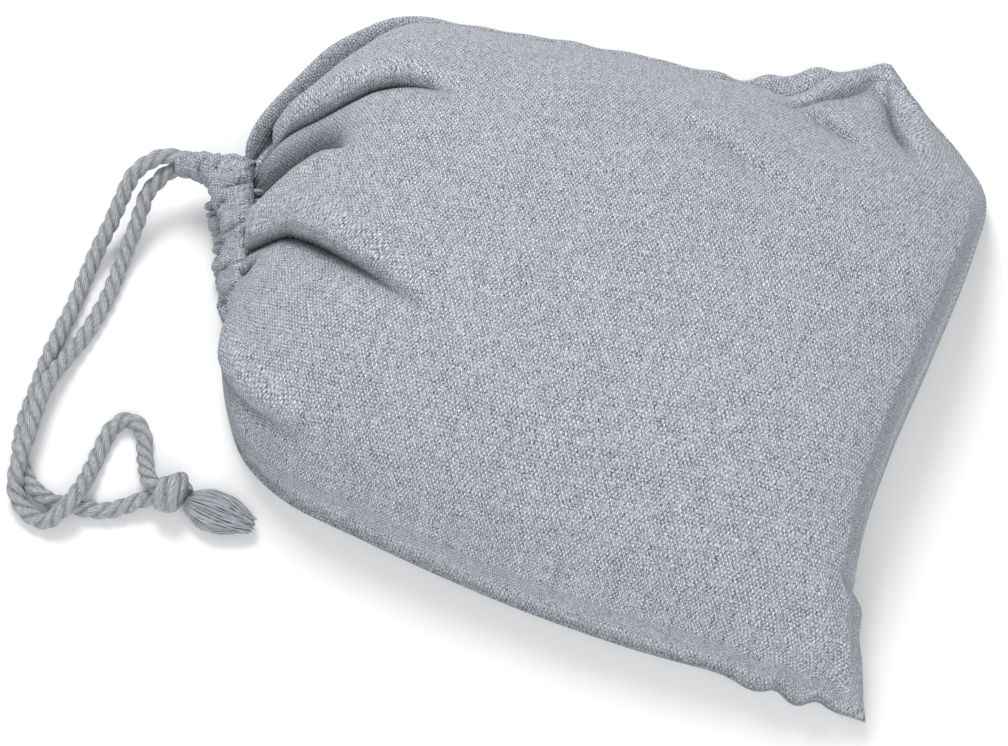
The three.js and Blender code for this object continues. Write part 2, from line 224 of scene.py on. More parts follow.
FRONT_FOLDS = {
    "roll_from_the_sleeve": Fold(
        [(-164, 2), (-162, 12), (-158, 26), (-152, 37), (-144, 46), (-130, 53), (-114, 60),
         (-99, 64), (-84, 64), (-68, 59), (-50, 50)],
        15.0, 9.0, 6.5, 7.0, 8.5, 0.14, 0.40),
    "valley_above_the_neck": Fold(
        [(-99, 21), (-111, 20), (-122, 15), (-131, 8), (-139, -1), (-147, -10)],
        27.0, 20.0, 1.2, 8.0, 3.0, 0.30, 0.04),
    "roll_over_middle_crease": Fold(
        [(-149, -24), (-142, -21), (-132, -19), (-120, -18), (-106, -23), (-90, -31),
         (-72, -41), (-54, -52), (-30, -63)],
        15.0, 12.0, 5.0, 8.0, 8.5, 0.06, 0.60),
    "roll_over_lower_crease": Fold(
        [(-143, -52), (-139, -69), (-129, -87), (-117, -98), (-104, -106), (-90, -112), (-72, -119)],
        9.0, 6.0, 3.4, 6.0, 6.0, 0.35, 0.45),
    "dimple_at_the_neck": Fold(
        [(-146, -41), (-140, -36), (-133, -34), (-127, -35)],
        9.0, 6.0, 3.0, 4.5, 3.0, 0.1, 0.5),
    "crease_of_the_upper_ear": Fold(
        [(130, 160), (136, 140), (141, 122), (147, 104), (152, 84)],
        10.0, 9.0, 4.6, 8.0, 6.0, 0.12, 0.50),
    "valley_across_the_top": Fold(
        [(20, 84), (44, 72), (66, 62), (88, 51), (118, 38)],
        6.0, 13.0, 2.2, 15.0, 0.0, 0.5, 0.5),
    "valley_under_the_ear": Fold(
        [(80, 124), (100, 112), (118, 98), (132, 76)],
        6.5, 11.0, 2.4, 11.0, 2.5, 0.4, 0.5),
    "line_into_the_ear": Fold(
        [(70, 112), (88, 118), (104, 130), (118, 146), (126, 160)],
        4.6, 6.0, 2.4, 6.0, 1.6, 0.4, 0.2),
    "slack_of_the_lower_ear": Fold(
        [(108, -128), (126, -134), (146, -146), (164, -158)],
        2.6, 9.0, 1.6, 9.0, 0.0, 0.4, 0.3),
    "line_beside_the_lower_ear": Fold(
        [(168, -150), (160, -136), (154, -118), (150, -98)],
        2.4, 7.0, 1.4, 6.0, 0.0, 0.3, 0.5),
}

BACK_FOLDS = {
    "pleat_left": Fold([(-150, 0), (-120, 8), (-80, 10)], 3.0, 7, 0.8, 6, 0, 0.2, 0.6),
    "pleat_right": Fold([(-140, -30), (-110, -40), (-70, -52)], 3.0, 7, 0.8, 6, 0, 0.2, 0.6),
}
CREASE_WIDTH = 2.0


def press_fold(points, fold, strength):
    """Push a crease into the surface, and lean its roll over it. Gives back its depth too."""
    line = Route(np.array(fold.line, float) * MM)
    shares = np.linspace(0, 1, 90)
    stops = line.at(shares)
    ahead = np.gradient(stops, axis=0)
    ahead /= np.linalg.norm(ahead, axis=1)[:, None]
    flat = points.reshape(-1, 3)
    nearest = np.empty(len(flat), int)
    for start in range(0, len(flat), 4000):
        part = flat[start:start + 4000, None, :2] - stops[None]
        nearest[start:start + 4000] = np.argmin((part ** 2).sum(-1), axis=1)
    offset = flat[:, :2] - stops[nearest]
    tangent = ahead[nearest]
    beside = tangent[:, 0] * offset[:, 1] - tangent[:, 1] * offset[:, 0]
    past_end = np.abs((tangent * offset).sum(1))
    share = shares[nearest]
    size = smooth(share / fold.fade_in) * smooth((1 - share) / fold.fade_out) * strength * MM
    size *= np.exp(-(past_end / (6 * MM)) ** 2)
    beside = beside / MM
    width = np.where(beside > 0, CREASE_WIDTH, fold.trough)
    trough = -fold.depth * np.exp(-(np.abs(beside) / width) ** 1.35)
    lip = fold.roll * np.exp(-((beside - fold.roll_width) / (0.75 * fold.roll_width)) ** 2)
    lean = fold.overhang * np.exp(-((beside - 0.55 * fold.roll_width) / (0.6 * fold.roll_width)) ** 2)
    flat[:, 2] += size * (trough + lip)
    flat[:, 0] += size * lean * tangent[:, 1]
    flat[:, 1] -= size * lean * tangent[:, 0]
    return flat.reshape(points.shape), (-size * trough).reshape(points.shape[:2])


def ripple(x, y, wavelength, seed, waves=12):
    """Soft irregular waves of one size, from -1 to 1."""
    rng = np.random.default_rng(seed)
    total = np.zeros_like(x)
    for _ in range(waves):
        heading = rng.uniform(0, 2 * np.pi)
        stretch = wavelength * rng.uniform(0.7, 1.5)
        phase = (x * math.cos(heading) + y * math.sin(heading)) * 2 * np.pi / stretch
        total += np.cos(phase + rng.uniform(0, 2 * np.pi))
    return total / math.sqrt(waves) / 1.6


def gathers(v, count, seed):
    """Irregular pleats across the neck, from -1 to 1, with narrow furrows."""
    rng = np.random.default_rng(seed)
    warped = v + sum(rng.uniform(0.006, 0.014) * np.sin(2 * np.pi * k * v + rng.uniform(0, 6.28))
                     for k in (2, 3, 5, 7))
    wave = np.sin(np.pi * count * warped)
    return 1 - 2 * (1 - np.abs(wave)) ** 1.6


# ---------------------------------------------------------------------------
# Meshes
# ---------------------------------------------------------------------------

def add_object(name, vertices, faces, uv=None, map_name="weave"):
    mesh = bpy.data.meshes.new(name)
    mesh.from_pydata([tuple(p) for p in vertices], [], faces)
    if uv is not None:
        layer = mesh.uv_layers.new(name=map_name)
        corner = np.empty(len(mesh.loops), np.int32)
        mesh.loops.foreach_get("vertex_index", corner)
        layer.data.foreach_set("uv", np.asarray(uv, np.float32)[corner].ravel())
    mesh.shade_smooth()
    piece = bpy.data.objects.new(name, mesh)
    bpy.context.scene.collection.objects.link(piece)
    return piece


def mark_painted_crease_shade(piece, depth):
    """Keep the depth of creases in millimetres, for the outer and the inner side of the cloth, as the mask of
    the painted shade in the canvas colour.
    """
    layer = piece.data.attributes.new("crease_depth_for_painted_shade", "FLOAT", "POINT")
    layer.data.foreach_set("value", np.tile(depth.ravel(), 2).astype(np.float32))


def grid_normals(grid, up):
    du = np.gradient(grid, axis=0)
    dv = np.gradient(grid, axis=1)
    normal = np.cross(du, dv) * up
    return normal / np.maximum(np.linalg.norm(normal, axis=-1, keepdims=True), 1e-12)


CUT_LENGTH = 0.40
CUT_WIDTH = 0.34


def laid_flat(grid, u, v, skip=5, rounds=600):
    """Cloth coordinates in metres: the panel laid flat with as little stretch as possible."""
    stations = [np.unique(np.append(np.arange(0, size, skip), size - 1)) for size in grid.shape[:2]]
    corners = grid[np.ix_(*stations)]
    stretch = []
    for axis in (0, 1):
        steps = np.linalg.norm(np.diff(grid, axis=axis), axis=-1)
        reach = np.cumsum(np.pad(steps, [(1, 0) if k == axis else (0, 0) for k in (0, 1)]), axis=axis)
        cloth = np.diff(reach[np.ix_(*stations)], axis=axis)
        chord = np.linalg.norm(np.diff(corners, axis=axis), axis=-1)
        stretch.append(cloth / np.maximum(chord, 1e-9))
    slant = (stretch[0][:, 1:] + stretch[0][:, :-1] + stretch[1][1:] + stretch[1][:-1]) / 4
    every, first, rest = slice(None), slice(None, -1), slice(1, None)
    ties = (((first, every), (rest, every), stretch[0]), ((every, first), (every, rest), stretch[1]),
            ((first, first), (rest, rest), slant), ((first, rest), (rest, first), slant))
    ties = [(start, end, np.linalg.norm(corners[end] - corners[start], axis=-1) * ratio)
            for start, end, ratio in ties]
    flat = np.stack([CUT_LENGTH * u[np.ix_(*stations)], CUT_WIDTH * v[np.ix_(*stations)]], -1)
    for _ in range(rounds):
        move = np.zeros_like(flat)
        for start, end, length in ties:
            gap = flat[end] - flat[start]
            now = np.maximum(np.linalg.norm(gap, axis=-1), 1e-6)
            pull = gap * ((now - length) / now / 2)[..., None]
            move[start] += pull
            move[end] -= pull
        flat += move * 0.3
    fine = np.stack([[np.interp(np.arange(grid.shape[0]), stations[0], column) for column in flat[..., k].T]
                     for k in (0, 1)], -1)
    return np.stack([[np.interp(np.arange(grid.shape[1]), stations[1], row) for row in fine[..., k].T]
                     for k in (0, 1)], -1)


def cloth_slab(name, outer, thickness, up, weave):
    """A sheet of cloth with its thickness, closed round its four edges."""
    rows, columns = outer.shape[:2]
    inner = outer - grid_normals(outer, up) * thickness
    vertices = np.concatenate([outer.reshape(-1, 3), inner.reshape(-1, 3)])
    index = np.arange(rows * columns).reshape(rows, columns)
    top = np.stack([index[:-1, :-1], index[1:, :-1], index[1:, 1:], index[:-1, 1:]], -1).reshape(-1, 4)
    under = top[:, ::-1] + rows * columns
    edge = np.concatenate([index[:, 0], index[-1, 1:], index[-2::-1, -1], index[0, -2:0:-1]])
    following = np.roll(edge, -1)
    wall = np.stack([following, edge, edge + rows * columns, following + rows * columns], -1)
    faces = np.concatenate([top, under, wall])
    if up < 0:
        faces = faces[:, ::-1]
    uv = np.concatenate([weave.reshape(-1, 2)] * 2)
    return add_object(name, vertices, faces.tolist(), uv)


def path_frames(points, towards=None):
    """Tangents and two crosswise directions, carried along without twisting, or kept facing a line."""
    ahead = np.gradient(points, axis=0)
    ahead /= np.linalg.norm(ahead, axis=1)[:, None]
    side = np.empty_like(ahead)
    if towards is not None:
        side = towards - points
        side = side - ahead * (side * ahead).sum(1)[:, None]
        side /= np.linalg.norm(side, axis=1)[:, None]
        return ahead, side, np.cross(ahead, side)
    side[0] = np.cross((0, 0, 1), ahead[0])
    side[0] /= np.linalg.norm(side[0])
    for k in range(1, len(points)):
        carried = side[k - 1] - ahead[k] * np.dot(side[k - 1], ahead[k])
        side[k] = carried / np.linalg.norm(carried)
    return ahead, side, np.cross(ahead, side)


def tube_faces(rings, sides, start=0):
    """Quads of a tube and a fan for each end, for rings that run forwards."""
    index = np.arange(rings * sides).reshape(rings, sides) + start
    turned = np.roll(index, -1, axis=1)
    quads = np.stack([index[:-1], turned[:-1], turned[1:], index[1:]], -1).reshape(-1, 4)
    caps = [index[0, ::-1].tolist(), index[-1].tolist()]
    return quads.tolist() + caps


def sleeve_mesh(name, centres, towards, section, thickness, sides=72):
    """A cloth tube: section(share, angle) gives its reach towards a line and across."""
    _, side, up = path_frames(centres, towards)
    share = np.linspace(0, 1, len(centres))[:, None]
    angle = np.linspace(0, 2 * np.pi, sides, endpoint=False)[None]
    across_reach, up_reach = section(share, angle)
    outer = centres[:, None] + across_reach[..., None] * side[:, None] + up_reach[..., None] * up[:, None]
    middle = outer.mean(axis=1, keepdims=True)
    reach = np.linalg.norm(outer - middle, axis=-1, keepdims=True)
    inner = middle + (outer - middle) * (1 - thickness / reach)
    rings = len(centres)
    index = np.arange(rings * sides).reshape(rings, sides)
    turned = np.roll(index, -1, axis=1)
    skin = np.stack([index[:-1], turned[:-1], turned[1:], index[1:]], -1).reshape(-1, 4)
    lining = skin[:, ::-1] + rings * sides
    first = np.stack([turned[0], index[0], index[0] + rings * sides, turned[0] + rings * sides], -1)
    last = np.stack([index[-1], turned[-1], turned[-1] + rings * sides, index[-1] + rings * sides], -1)
    faces = np.concatenate([skin, lining, first, last])
    lengths = np.concatenate([[0], np.cumsum(np.linalg.norm(np.diff(centres, axis=0), axis=1))])
    girth = reach.mean() * angle
    uv = np.stack(np.broadcast_arrays(lengths[:, None] * 1.6, girth), -1).reshape(-1, 2)
    vertices = np.concatenate([outer.reshape(-1, 3), inner.reshape(-1, 3)])
    sleeve = add_object(name, vertices, faces.tolist(), np.concatenate([uv, uv]))
    # Painted shade in the pleats: how far each furrow sinks below the ring's smoothed reach darkens the
    # canvas colour.
    window = rings // 9
    padded = np.pad(reach[..., 0], [(window, window), (0, 0)], mode="edge")
    around = sum(padded[k:k + rings] for k in range(2 * window + 1)) / (2 * window + 1)
    mark_painted_crease_shade(sleeve, 2.5 + 6 * np.maximum(around - reach[..., 0], 0) / MM)
    return sleeve


ROPE_SIDES = 36
STRAND_OFFSET = 0.215     # shares of the cord's diameter
STRAND_RADIUS = 0.345


def rope_mesh(name, centres, diameter, lay_length, phase=0.0):
    """Three strands pressed together and laid round each other along a path."""
    _, side, up = path_frames(centres)
    steps = np.linalg.norm(np.diff(centres, axis=0), axis=1)
    reach = np.concatenate([[0], np.cumsum(steps)])
    column = np.linspace(0, 2 * np.pi, ROPE_SIDES, endpoint=False)
    from_strand = np.mod(column, 2 * np.pi / 3) - np.pi / 3
    outline = (STRAND_OFFSET * np.cos(from_strand)
               + np.sqrt(STRAND_RADIUS ** 2 - (STRAND_OFFSET * np.sin(from_strand)) ** 2))
    uneven = 1 + 0.03 * np.sin(reach / 0.0046 + phase)[:, None] * np.cos(column + 3 * phase)[None]
    radius = diameter * outline[None] * uneven
    angle = column[None] + phase - 2 * np.pi * reach[:, None] / lay_length
    ring = (centres[:, None] + (radius * np.cos(angle))[..., None] * side[:, None]
            + (radius * np.sin(angle))[..., None] * up[:, None])
    lengthwise, round_it = np.meshgrid(reach, column * diameter / 2, indexing="ij")
    uv = np.stack([lengthwise, round_it], -1).reshape(-1, 2)
    return add_object(name, ring.reshape(-1, 3), tube_faces(len(centres), ROPE_SIDES), uv, "strand")


# ---------------------------------------------------------------------------
# Node helpers and materials
# ---------------------------------------------------------------------------

def put(tree, kind, inputs=None, **settings):
    """Add a node, set it up and wire or fill its inputs."""
    node = tree.nodes.new(kind)
    for key, value in settings.items():
        setattr(node, key, value)
    for key, value in (inputs or {}).items():
        socket = node.inputs[key]
        if isinstance(value, bpy.types.NodeSocket):
            tree.links.new(value, socket)
        else:
            socket.default_value = value
    return node


def sums(tree, operation, a, b=0.0, c=0.0):
    return put(tree, "ShaderNodeMath", {0: a, 1: b, 2: c}, operation=operation).outputs[0]


def new_material(name, roughness, sheen):
    material = bpy.data.materials.new(name)
    material.use_nodes = True
    tree = material.node_tree
    shader = tree.nodes["Principled BSDF"]
    shader.inputs["Roughness"].default_value = roughness
    shader.inputs["Specular IOR Level"].default_value = 0.2
    shader.inputs["Sheen Weight"].default_value = sheen
    shader.inputs["Sheen Roughness"].default_value = 0.6
    return material, tree, shader


def cloth_coordinates(tree, map_name):
    """The piece's own cloth coordinates, in millimetres."""
    own = put(tree, "ShaderNodeUVMap", uv_map=map_name).outputs[0]
    return put(tree, "ShaderNodeVectorMath", {0: own, 3: 1 / MM}, operation="SCALE").outputs[0]


def stretched_noise(tree, vector, scale, detail=2.0):
    """Noise that is longer along one yarn direction than the other."""
    placed = put(tree, "ShaderNodeMapping", {"Vector": vector, "Scale": scale}).outputs[0]
    return put(tree, "ShaderNodeTexNoise", {"Vector": placed, "Scale": 1.0, "Detail": detail}).outputs[0]


def shade(tree, colour, brightness):
    """A colour times a brightness that varies over the surface."""
    grey = put(tree, "ShaderNodeCombineColor", {0: brightness, 1: brightness, 2: brightness}).outputs[0]
    mix = put(tree, "ShaderNodeMix", {"Factor": 1.0}, data_type="RGBA", blend_type="MULTIPLY")
    mix.inputs[6].default_value = (*colour, 1.0)
    tree.links.new(grey, mix.inputs[7])
    return mix.outputs[2]


def woven_canvas(name, colour, warp_pitch, weft_pitch, contrast, relief):
    """Coarse plain weave with staggered raised crossings, slubs and dark flecks, and painted shade in deep
    creases.
    """
    material, tree, shader = new_material(name, 0.96, 0.12)
    cloth = cloth_coordinates(tree, "weave")
    wander = put(tree, "ShaderNodeTexNoise", {"Vector": cloth, "Scale": 0.14, "Detail": 2.0}).outputs[1]
    pull = put(tree, "ShaderNodeVectorMath", {0: wander, 1: (0.5, 0.5, 0.5)}, operation="SUBTRACT").outputs[0]
    pull = put(tree, "ShaderNodeVectorMath", {0: pull, 3: 2.2}, operation="SCALE").outputs[0]
    cloth = put(tree, "ShaderNodeVectorMath", {0: cloth, 1: pull}, operation="ADD").outputs[0]
    place = put(tree, "ShaderNodeSeparateXYZ", {0: cloth}).outputs
    lengthwise = sums(tree, "MULTIPLY", place[0], MM / warp_pitch)
    crosswise = sums(tree, "MULTIPLY", place[1], MM / weft_pitch)
    wave = sums(tree, "MULTIPLY",
                sums(tree, "SINE", sums(tree, "MULTIPLY", lengthwise, math.pi)),
                sums(tree, "SINE", sums(tree, "MULTIPLY", crosswise, math.pi)))
    crossing = sums(tree, "ABSOLUTE", wave)
    row = sums(tree, "FLOOR", lengthwise)
    cell = put(tree, "ShaderNodeCombineXYZ", {0: row, 1: sums(tree, "FLOOR", crosswise), 2: 0.0}).outputs[0]
    chance = put(tree, "ShaderNodeTexWhiteNoise", {"Vector": cell}, noise_dimensions="3D").outputs[0]
    warp_slub = stretched_noise(tree, cloth, (0.05, 0.75, 1))
    weft_slub = stretched_noise(tree, cloth, (0.5, 0.04, 1))
    fibre = stretched_noise(tree, cloth, (1.7, 1.25, 1), 2.0)
    patch = stretched_noise(tree, cloth, (0.02, 0.02, 1), 3.0)
    brightness = sums(tree, "MULTIPLY_ADD", crossing, 0.62 * contrast, 0.98 - 0.30 * contrast)
    brightness = sums(tree, "MULTIPLY_ADD", wave, 0.42 * contrast, brightness)
    for source, weight in ((chance, 0.42), (warp_slub, 0.30), (weft_slub, 0.30), (fibre, 2.9), (patch, 0.08)):
        varied = sums(tree, "MULTIPLY_ADD", source, weight, -weight / 2)
        brightness = sums(tree, "ADD", brightness, varied)
    fleck = put(tree, "ShaderNodeMapRange", {
        "Value": stretched_noise(tree, cloth, (0.42, 0.30, 1), 1.0),
        "From Min": 0.80, "From Max": 0.86, "To Min": 1.0, "To Max": 0.45}).outputs[0]
    brightness = sums(tree, "MULTIPLY", brightness, fleck)
    # Painted shade: the colour is darkened where the mesh records deep creases and pleats.
    crease_depth_for_painted_shade = put(tree, "ShaderNodeAttribute", attribute_name="crease_depth_for_painted_shade",
                 attribute_type="GEOMETRY").outputs["Fac"]
    painted_crease_shadow = put(tree, "ShaderNodeMapRange", {
        "Value": crease_depth_for_painted_shade, "From Min": 2.5, "From Max": 16.0, "To Min": 1.0, "To Max": 0.32},
        interpolation_type="SMOOTHSTEP").outputs[0]
    brightness = sums(tree, "MULTIPLY", brightness, painted_crease_shadow)
    tree.links.new(shade(tree, colour, brightness), shader.inputs["Base Color"])
    height = sums(tree, "MULTIPLY_ADD", fibre, 0.5, crossing)
    height = sums(tree, "MULTIPLY_ADD", warp_slub, 0.5, height)
    bump = put(tree, "ShaderNodeBump", {"Height": height, "Distance": relief, "Strength": 0.9})
    tree.links.new(bump.outputs[0], shader.inputs["Normal"])
    return material


def laid_yarn(name, colour, yarn_pitch, slant, relief, diameter):
    """Twisted yarns that run slantwise round a strand, with painted shade in the grooves between strands."""
    material, tree, shader = new_material(name, 0.95, 0.15)
    cloth = cloth_coordinates(tree, "strand")
    place = put(tree, "ShaderNodeSeparateXYZ", {0: cloth}).outputs
    turned = sums(tree, "MULTIPLY_ADD", place[0], slant, place[1])
    along_yarn = put(tree, "ShaderNodeCombineXYZ", {0: place[0], 1: turned, 2: 0.0}).outputs[0]
    fibre = stretched_noise(tree, along_yarn, (0.45, 1.9, 1), 3.0)
    wobble = sums(tree, "MULTIPLY", fibre, 0.8)
    phase = sums(tree, "MULTIPLY", sums(tree, "ADD", turned, wobble), math.pi * MM / yarn_pitch)
    yarn = sums(tree, "ABSOLUTE", sums(tree, "SINE", phase))
    slub = stretched_noise(tree, along_yarn, (0.12, 0.7, 1))
    # Painted shade: the colour is darkened along the grooves between the three strands.
    round_it = sums(tree, "MULTIPLY", place[1], 3 * MM / diameter)
    painted_groove_shade = sums(tree, "POWER", sums(tree, "ABSOLUTE", sums(tree, "COSINE", round_it)), 5.0)
    brightness = sums(tree, "MULTIPLY_ADD", yarn, 0.42, 0.56)
    for source, weight in ((fibre, 1.9), (slub, 0.5)):
        brightness = sums(tree, "ADD", brightness,
                          sums(tree, "MULTIPLY_ADD", source, weight, 0.11 - weight / 2))
    brightness = sums(tree, "MULTIPLY", brightness, sums(tree, "MULTIPLY_ADD", painted_groove_shade, -0.30, 1.0))
    tree.links.new(shade(tree, colour, brightness), shader.inputs["Base Color"])
    height = sums(tree, "MULTIPLY_ADD", fibre, 0.7, yarn)
    bump = put(tree, "ShaderNodeBump", {"Height": height, "Distance": relief, "Strength": 0.9})
    tree.links.new(bump.outputs[0], shader.inputs["Normal"])
    return material


def spun_thread(name, colour, roughness=0.9):
    """Fine fibre streaks for loose yarn ends and sewing thread."""
    material, tree, shader = new_material(name, roughness, 0.15)
    place = put(tree, "ShaderNodeTexCoord").outputs["Object"]
    coarse = put(tree, "ShaderNodeTexNoise", {"Vector": place, "Scale": 260.0, "Detail": 3.0}).outputs[0]
    fine = put(tree, "ShaderNodeTexNoise", {"Vector": place, "Scale": 2400.0, "Detail": 2.0}).outputs[0]
    brightness = sums(tree, "MULTIPLY_ADD", coarse, 0.9, 0.3)
    brightness = sums(tree, "ADD", brightness, sums(tree, "MULTIPLY_ADD", fine, 0.5, 0.0))
    tree.links.new(shade(tree, colour, brightness), shader.inputs["Base Color"])
    bump = put(tree, "ShaderNodeBump", {"Height": fine, "Distance": 0.12 * MM, "Strength": 0.7})
    tree.links.new(bump.outputs[0], shader.inputs["Normal"])
    return material


def shared_material(name, make, *values, **named):
    return bpy.data.materials.get(name) or make(name, *values, **named)


def canvas_material():
    sizes = bpy.context.scene.laundry_bag.canvas
    return shared_material("heathered_canvas", woven_canvas, tuple(sizes.colour), sizes.warp_pitch,
                           sizes.weft_pitch, 0.95, 0.40 * MM)


def cord_material():
    cord = bpy.context.scene.laundry_bag.cord
    return shared_material("twisted_cord_yarn", laid_yarn, tuple(cord.colour), 1.0 * MM, -0.75,
                           0.25 * MM, cord.diameter)


def thread_material():
    return shared_material("sewing_thread", spun_thread, tuple(bpy.context.scene.laundry_bag.stitch.colour))


def finish(piece, material, body, slot, *nodes):
    """Give a piece its material and its body, and hide the CAD nodes that it stands for. The slot is not
    used.
    """
    piece.data.materials.clear()
    piece.data.materials.append(material)
    if body:
        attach(piece, body)
    if nodes:
        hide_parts(*nodes)
    return piece


# ---------------------------------------------------------------------------
# Sizes and colours
# ---------------------------------------------------------------------------

class CanvasSettings(bpy.types.PropertyGroup):
    """Cloth of the bag."""
    thickness: FloatProperty(name="Thickness", description="Thickness of the canvas",
                             default=1.3 * MM, precision=4, unit="LENGTH")
    fullness: FloatProperty(name="Fullness", description="Rise of the front panel above the seam",
                            default=66 * MM, precision=4, unit="LENGTH")
    warp_pitch: FloatProperty(name="Warp pitch", description="Width of one crossing across the bag",
                              default=0.93 * MM, precision=5, unit="LENGTH")
    weft_pitch: FloatProperty(name="Weft pitch", description="Length of one crossing along the bag",
                              default=1.64 * MM, precision=5, unit="LENGTH")
    fold_depth: FloatProperty(name="Fold depth", description="Strength of the large folds",
                              default=1.0, subtype="FACTOR")
    crinkle: FloatProperty(name="Crinkle", description="Height of the small uneven waves",
                           default=0.7 * MM, precision=5, unit="LENGTH")
    colour: FloatVectorProperty(name="Colour", description="Canvas colour", subtype="COLOR",
                                default=(0.420, 0.447, 0.499))


class CordSettings(bpy.types.PropertyGroup):
    """Three-strand drawcord."""
    diameter: FloatProperty(name="Diameter", description="Thickness of the cord",
                            default=7 * MM, precision=4, unit="LENGTH")
    lay_length: FloatProperty(name="Lay length", description="Length of one full turn of a strand",
                              default=21.5 * MM, precision=4, unit="LENGTH")
    colour: FloatVectorProperty(name="Colour", description="Cord colour", subtype="COLOR",
                                default=(0.36, 0.374, 0.397))


class TasselSettings(bpy.types.PropertyGroup):
    """Frayed yarn ends below the knot."""
    yarns: IntProperty(name="Yarns", description="Number of loose yarns", default=300)
    length: FloatProperty(name="Length", description="Length of the longest yarns",
                          default=33 * MM, precision=4, unit="LENGTH")
    thickness: FloatProperty(name="Yarn thickness", description="Diameter of one yarn",
                             default=0.9 * MM, precision=5, unit="LENGTH")


class StitchSettings(bpy.types.PropertyGroup):
    """Sewing thread of the seams and hems."""
    length: FloatProperty(name="Stitch length", description="Length of one visible stitch",
                          default=2.5 * MM, precision=5, unit="LENGTH")
    pitch: FloatProperty(name="Pitch", description="Distance from stitch to stitch",
                         default=3.4 * MM, precision=5, unit="LENGTH")
    thickness: FloatProperty(name="Thread thickness", description="Diameter of the thread",
                             default=0.5 * MM, precision=5, unit="LENGTH")
    colour: FloatVectorProperty(name="Colour", description="Thread colour", subtype="COLOR",
                                default=(0.31, 0.325, 0.35))


class StageSettings(bpy.types.PropertyGroup):
    """Camera, floor and lights."""
    azimuth: FloatProperty(name="Azimuth", description="Camera's turn about the vertical",
                           default=math.radians(14), unit="ROTATION")
    elevation: FloatProperty(name="Elevation", description="Camera's height angle",
                             default=math.radians(65), unit="ROTATION")
    distance: FloatProperty(name="Distance", description="Camera's distance from its target",
                            default=1.071, unit="LENGTH")
    focal_length: FloatProperty(name="Focal length", description="Lens, in millimetres", default=85.0)
    floor_colour: FloatVectorProperty(name="Floor colour", description="Pale floor", subtype="COLOR",
                                      default=(0.93, 0.93, 0.93))


class LaundryBagSettings(bpy.types.PropertyGroup):
    """All sizes and colours of the bag."""
    canvas: PointerProperty(type=CanvasSettings)
    cord: PointerProperty(type=CordSettings)
    tassel: PointerProperty(type=TasselSettings)
    stitch: PointerProperty(type=StitchSettings)
    stage: PointerProperty(type=StageSettings)


# ---------------------------------------------------------------------------
# Bag pieces
# ---------------------------------------------------------------------------

def panel_parameters(stations, ribs):
    t = np.linspace(0, 1, stations)
    s = np.linspace(0, 1, ribs)
    u = 0.55 * t + 0.45 * t ** 2
    v = 0.45 * s + 0.55 * (0.5 - 0.5 * np.cos(np.pi * s))
    return np.meshgrid(u, v, indexing="ij")


def edge_fade(u, v):
    """Zero on the panel's four edges and one inside them."""
    return smooth(np.minimum(v, 1 - v) / 0.05) * smooth(np.minimum(u, 1 - u) / 0.05)


class LAUNDRYBAG_OT_front_panel(bpy.types.Operator):
    """Front panel: a full pillow with rolls and creases that run from the gathered neck"""
    bl_idname = "laundry_bag.front_panel"
    bl_label = "Front panel"

    def execute(self, context):
        canvas = context.scene.laundry_bag.canvas
        u, v = panel_parameters(240, 202)
        smooth_shape = front_surface(u, v, canvas.fullness)
        shape = smooth_shape.copy()
        # Crease depth of the folds, kept for the painted shade that darkens the canvas colour in them.
        crease_depth_for_painted_shade = np.zeros(u.shape)
        for fold in FRONT_FOLDS.values():
            shape, depth = press_fold(shape, fold, canvas.fold_depth)
            crease_depth_for_painted_shade = np.maximum(crease_depth_for_painted_shade, depth)
        pressed_cloth = np.concatenate([smooth_shape[..., :2], shape[..., 2:]], axis=-1)
        weave = laid_flat(pressed_cloth, u, v)
        x, y = smooth_shape[..., 0], smooth_shape[..., 1]
        inside = edge_fade(u, v)
        uneven = (ripple(x, y, 0.075, 3) + 0.5 * ripple(x, y, 0.034, 4) + 0.2 * ripple(x, y, 0.015, 5))
        shape += grid_normals(smooth_shape, 1) * (uneven * canvas.crinkle * inside)[..., None]
        near_neck = np.exp(-(u / 0.05) ** 2)
        shape[..., 2] += 2.3 * MM * gathers(v, 15, 8) * near_neck * smooth(np.minimum(v, 1 - v) / 0.04)
        shape[..., 2] += 0.3 * MM * seam_puckers(x) * (bell(v, 0, 0.03) + bell(v, 1, 0.03)) * smooth(u / 0.1)
        panel = cloth_slab("front_panel_cloth", shape, canvas.thickness, 1, weave)
        mark_painted_crease_shade(panel, crease_depth_for_painted_shade / MM)
        finish(panel, canvas_material(), "bag", "canvas", "front_panel")
        return {"FINISHED"}


def seam_puckers(x):
    """Small uneven waves that the seam's thread draws into the cloth."""
    return np.sin(x / 0.0065 * 2 * np.pi + 3 * np.sin(x / 0.021))


